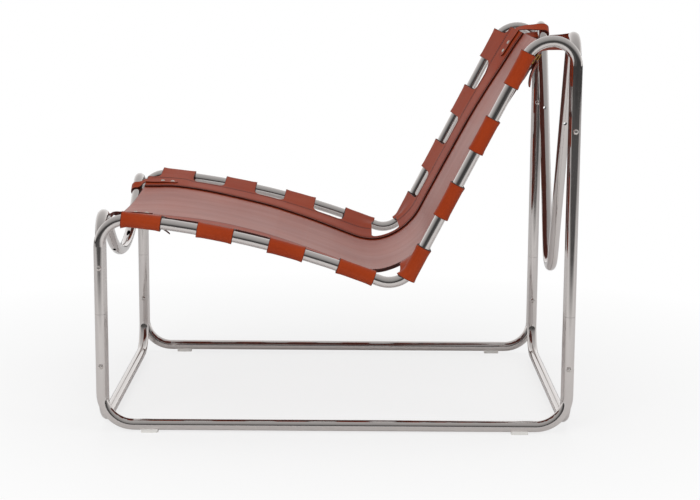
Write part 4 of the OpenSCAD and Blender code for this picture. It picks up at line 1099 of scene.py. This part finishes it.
# How far out the camera sees the floor's glow grow, from which share of white, and where
# reflections see the floor end
GLOW_FROM, GLOW_TO, GLOW_START = 0.5, 1.4, 0.76
END_FROM, END_TO, END_GLOW = 1.2, 2.2, 0.09


def mix_shaders(tree, factor, one, two):
    """Mix Shader node."""
    return add(tree, "MixShader", {0: factor, 1: one, 2: two}).outputs[0]


def glow(tree, kind, colour, strength):
    """Emission or Background node."""
    return add(tree, kind, {"Color": colour, "Strength": strength}).outputs[0]


floor_ends = (-FLOOR_HALF, FLOOR_HALF)
floor = grid_piece("floor", np.array([[(x, y, 0) for y in floor_ends] for x in floor_ends]))
floor_finish, tree, shader = new_finish("pale floor")
feed(tree, shader, {"Base Color": paint(246, 246, 246), "Roughness": 0.5})
place = add(tree, "TexCoord").outputs["Object"]
away = add(tree, "VectorMath", {0: place}, operation="LENGTH").outputs["Value"]
spot_x = add(tree, "SeparateXYZ", {0: place}).outputs["X"]
seen = add(tree, "LightPath").outputs
# The camera sees a floor that glows, and is all white from GLOW_TO out
glowing = spread(tree, away, GLOW_FROM, GLOW_TO, GLOW_START)
far = maths(tree, "MULTIPLY", glowing, seen["Is Camera Ray"])
mix = mix_shaders(tree, far, shader.outputs[0], glow(tree, "Emission", WHITE, 1.0))
# Reflections see where the white floor ends in front of the chair
past = maths(tree, "MULTIPLY", spread(tree, spot_x, END_FROM, END_TO), seen["Is Glossy Ray"])
mix = mix_shaders(tree, past, mix, glow(tree, "Emission", WHITE, END_GLOW))
tree.links.new(mix, tree.nodes["Material Output"].inputs["Surface"])
floor.data.materials.append(floor_finish)

# %% Sky and lamps
# Reflections see a room that is dark behind the camera, grey overhead and white behind the chair.
# ROOM gives its brightness by the angle up from the camera's side, as a share of half a turn.
ROOM = (
    (0.0, 0.05), (0.07, 0.08), (0.16, 0.3), (0.3, 0.42),
    (0.5, 0.5), (0.72, 0.62), (0.9, 0.85), (1.0, 1.0))
world = bpy.data.worlds.new("studio")
bpy.context.scene.world = world
world.use_nodes = True
tree = world.node_tree
seen = add(tree, "LightPath").outputs
way = add(tree, "TexCoord").outputs["Generated"]
part = add(tree, "SeparateXYZ", {0: way}).outputs
lift = maths(tree, "ARCTAN2", part["Z"], part["X"])
room = add(tree, "ValToRGB", {0: spread(tree, lift, 0.0, math.pi)})
for k, (at, level) in enumerate(ROOM):
    stop = room.color_ramp.elements[k] if k < 2 else room.color_ramp.elements.new(at)
    stop.position, stop.color = at, (level, level, level, 1)
plain, mirror, sky = (
    glow(tree, "Background", colour, strength)
    for colour, strength in ((WHITE, 0.46), (room.outputs[0], 1.0), (WHITE, 1.0)))
through_view = maths(tree, "MAXIMUM", seen["Is Camera Ray"], seen["Is Transmission Ray"])
out = mix_shaders(tree, through_view, mix_shaders(tree, seen["Is Glossy Ray"], plain, mirror), sky)
tree.links.new(out, tree.nodes["World Output"].inputs["Surface"])


def softbox(name, place, aim, size, power):
    """An oblong lamp that points at a place."""
    lamp = bpy.data.lights.new(name, "AREA")
    lamp.shape, lamp.size, lamp.size_y, lamp.energy = "RECTANGLE", size[0], size[1], power
    o = show(name, lamp)
    back = unit(np.array(place, float) - aim)
    right = unit(np.cross([0, 0, 1.0], back))
    o.matrix_world = placed(right, np.cross(back, right), back, place)
    # The reflected room stands in for the lamps, so that they don't burn out the chrome
    o.visible_glossy = False


softbox("front box", (3.2, -0.9, 2.0), (0, 0, 0.4), (2.0, 1.2), 44)
softbox("side box", (2.0, 2.6, 1.9), (0, 0, 0.4), (1.2, 1.6), 14)
softbox("top box", (-0.4, 0.2, 3.2), (0, 0, 0.3), (2.8, 2.8), 15)
bpy.context.scene.view_settings.view_transform = "Standard"
print("lamps:", [lamp.name for lamp in bpy.data.lights])
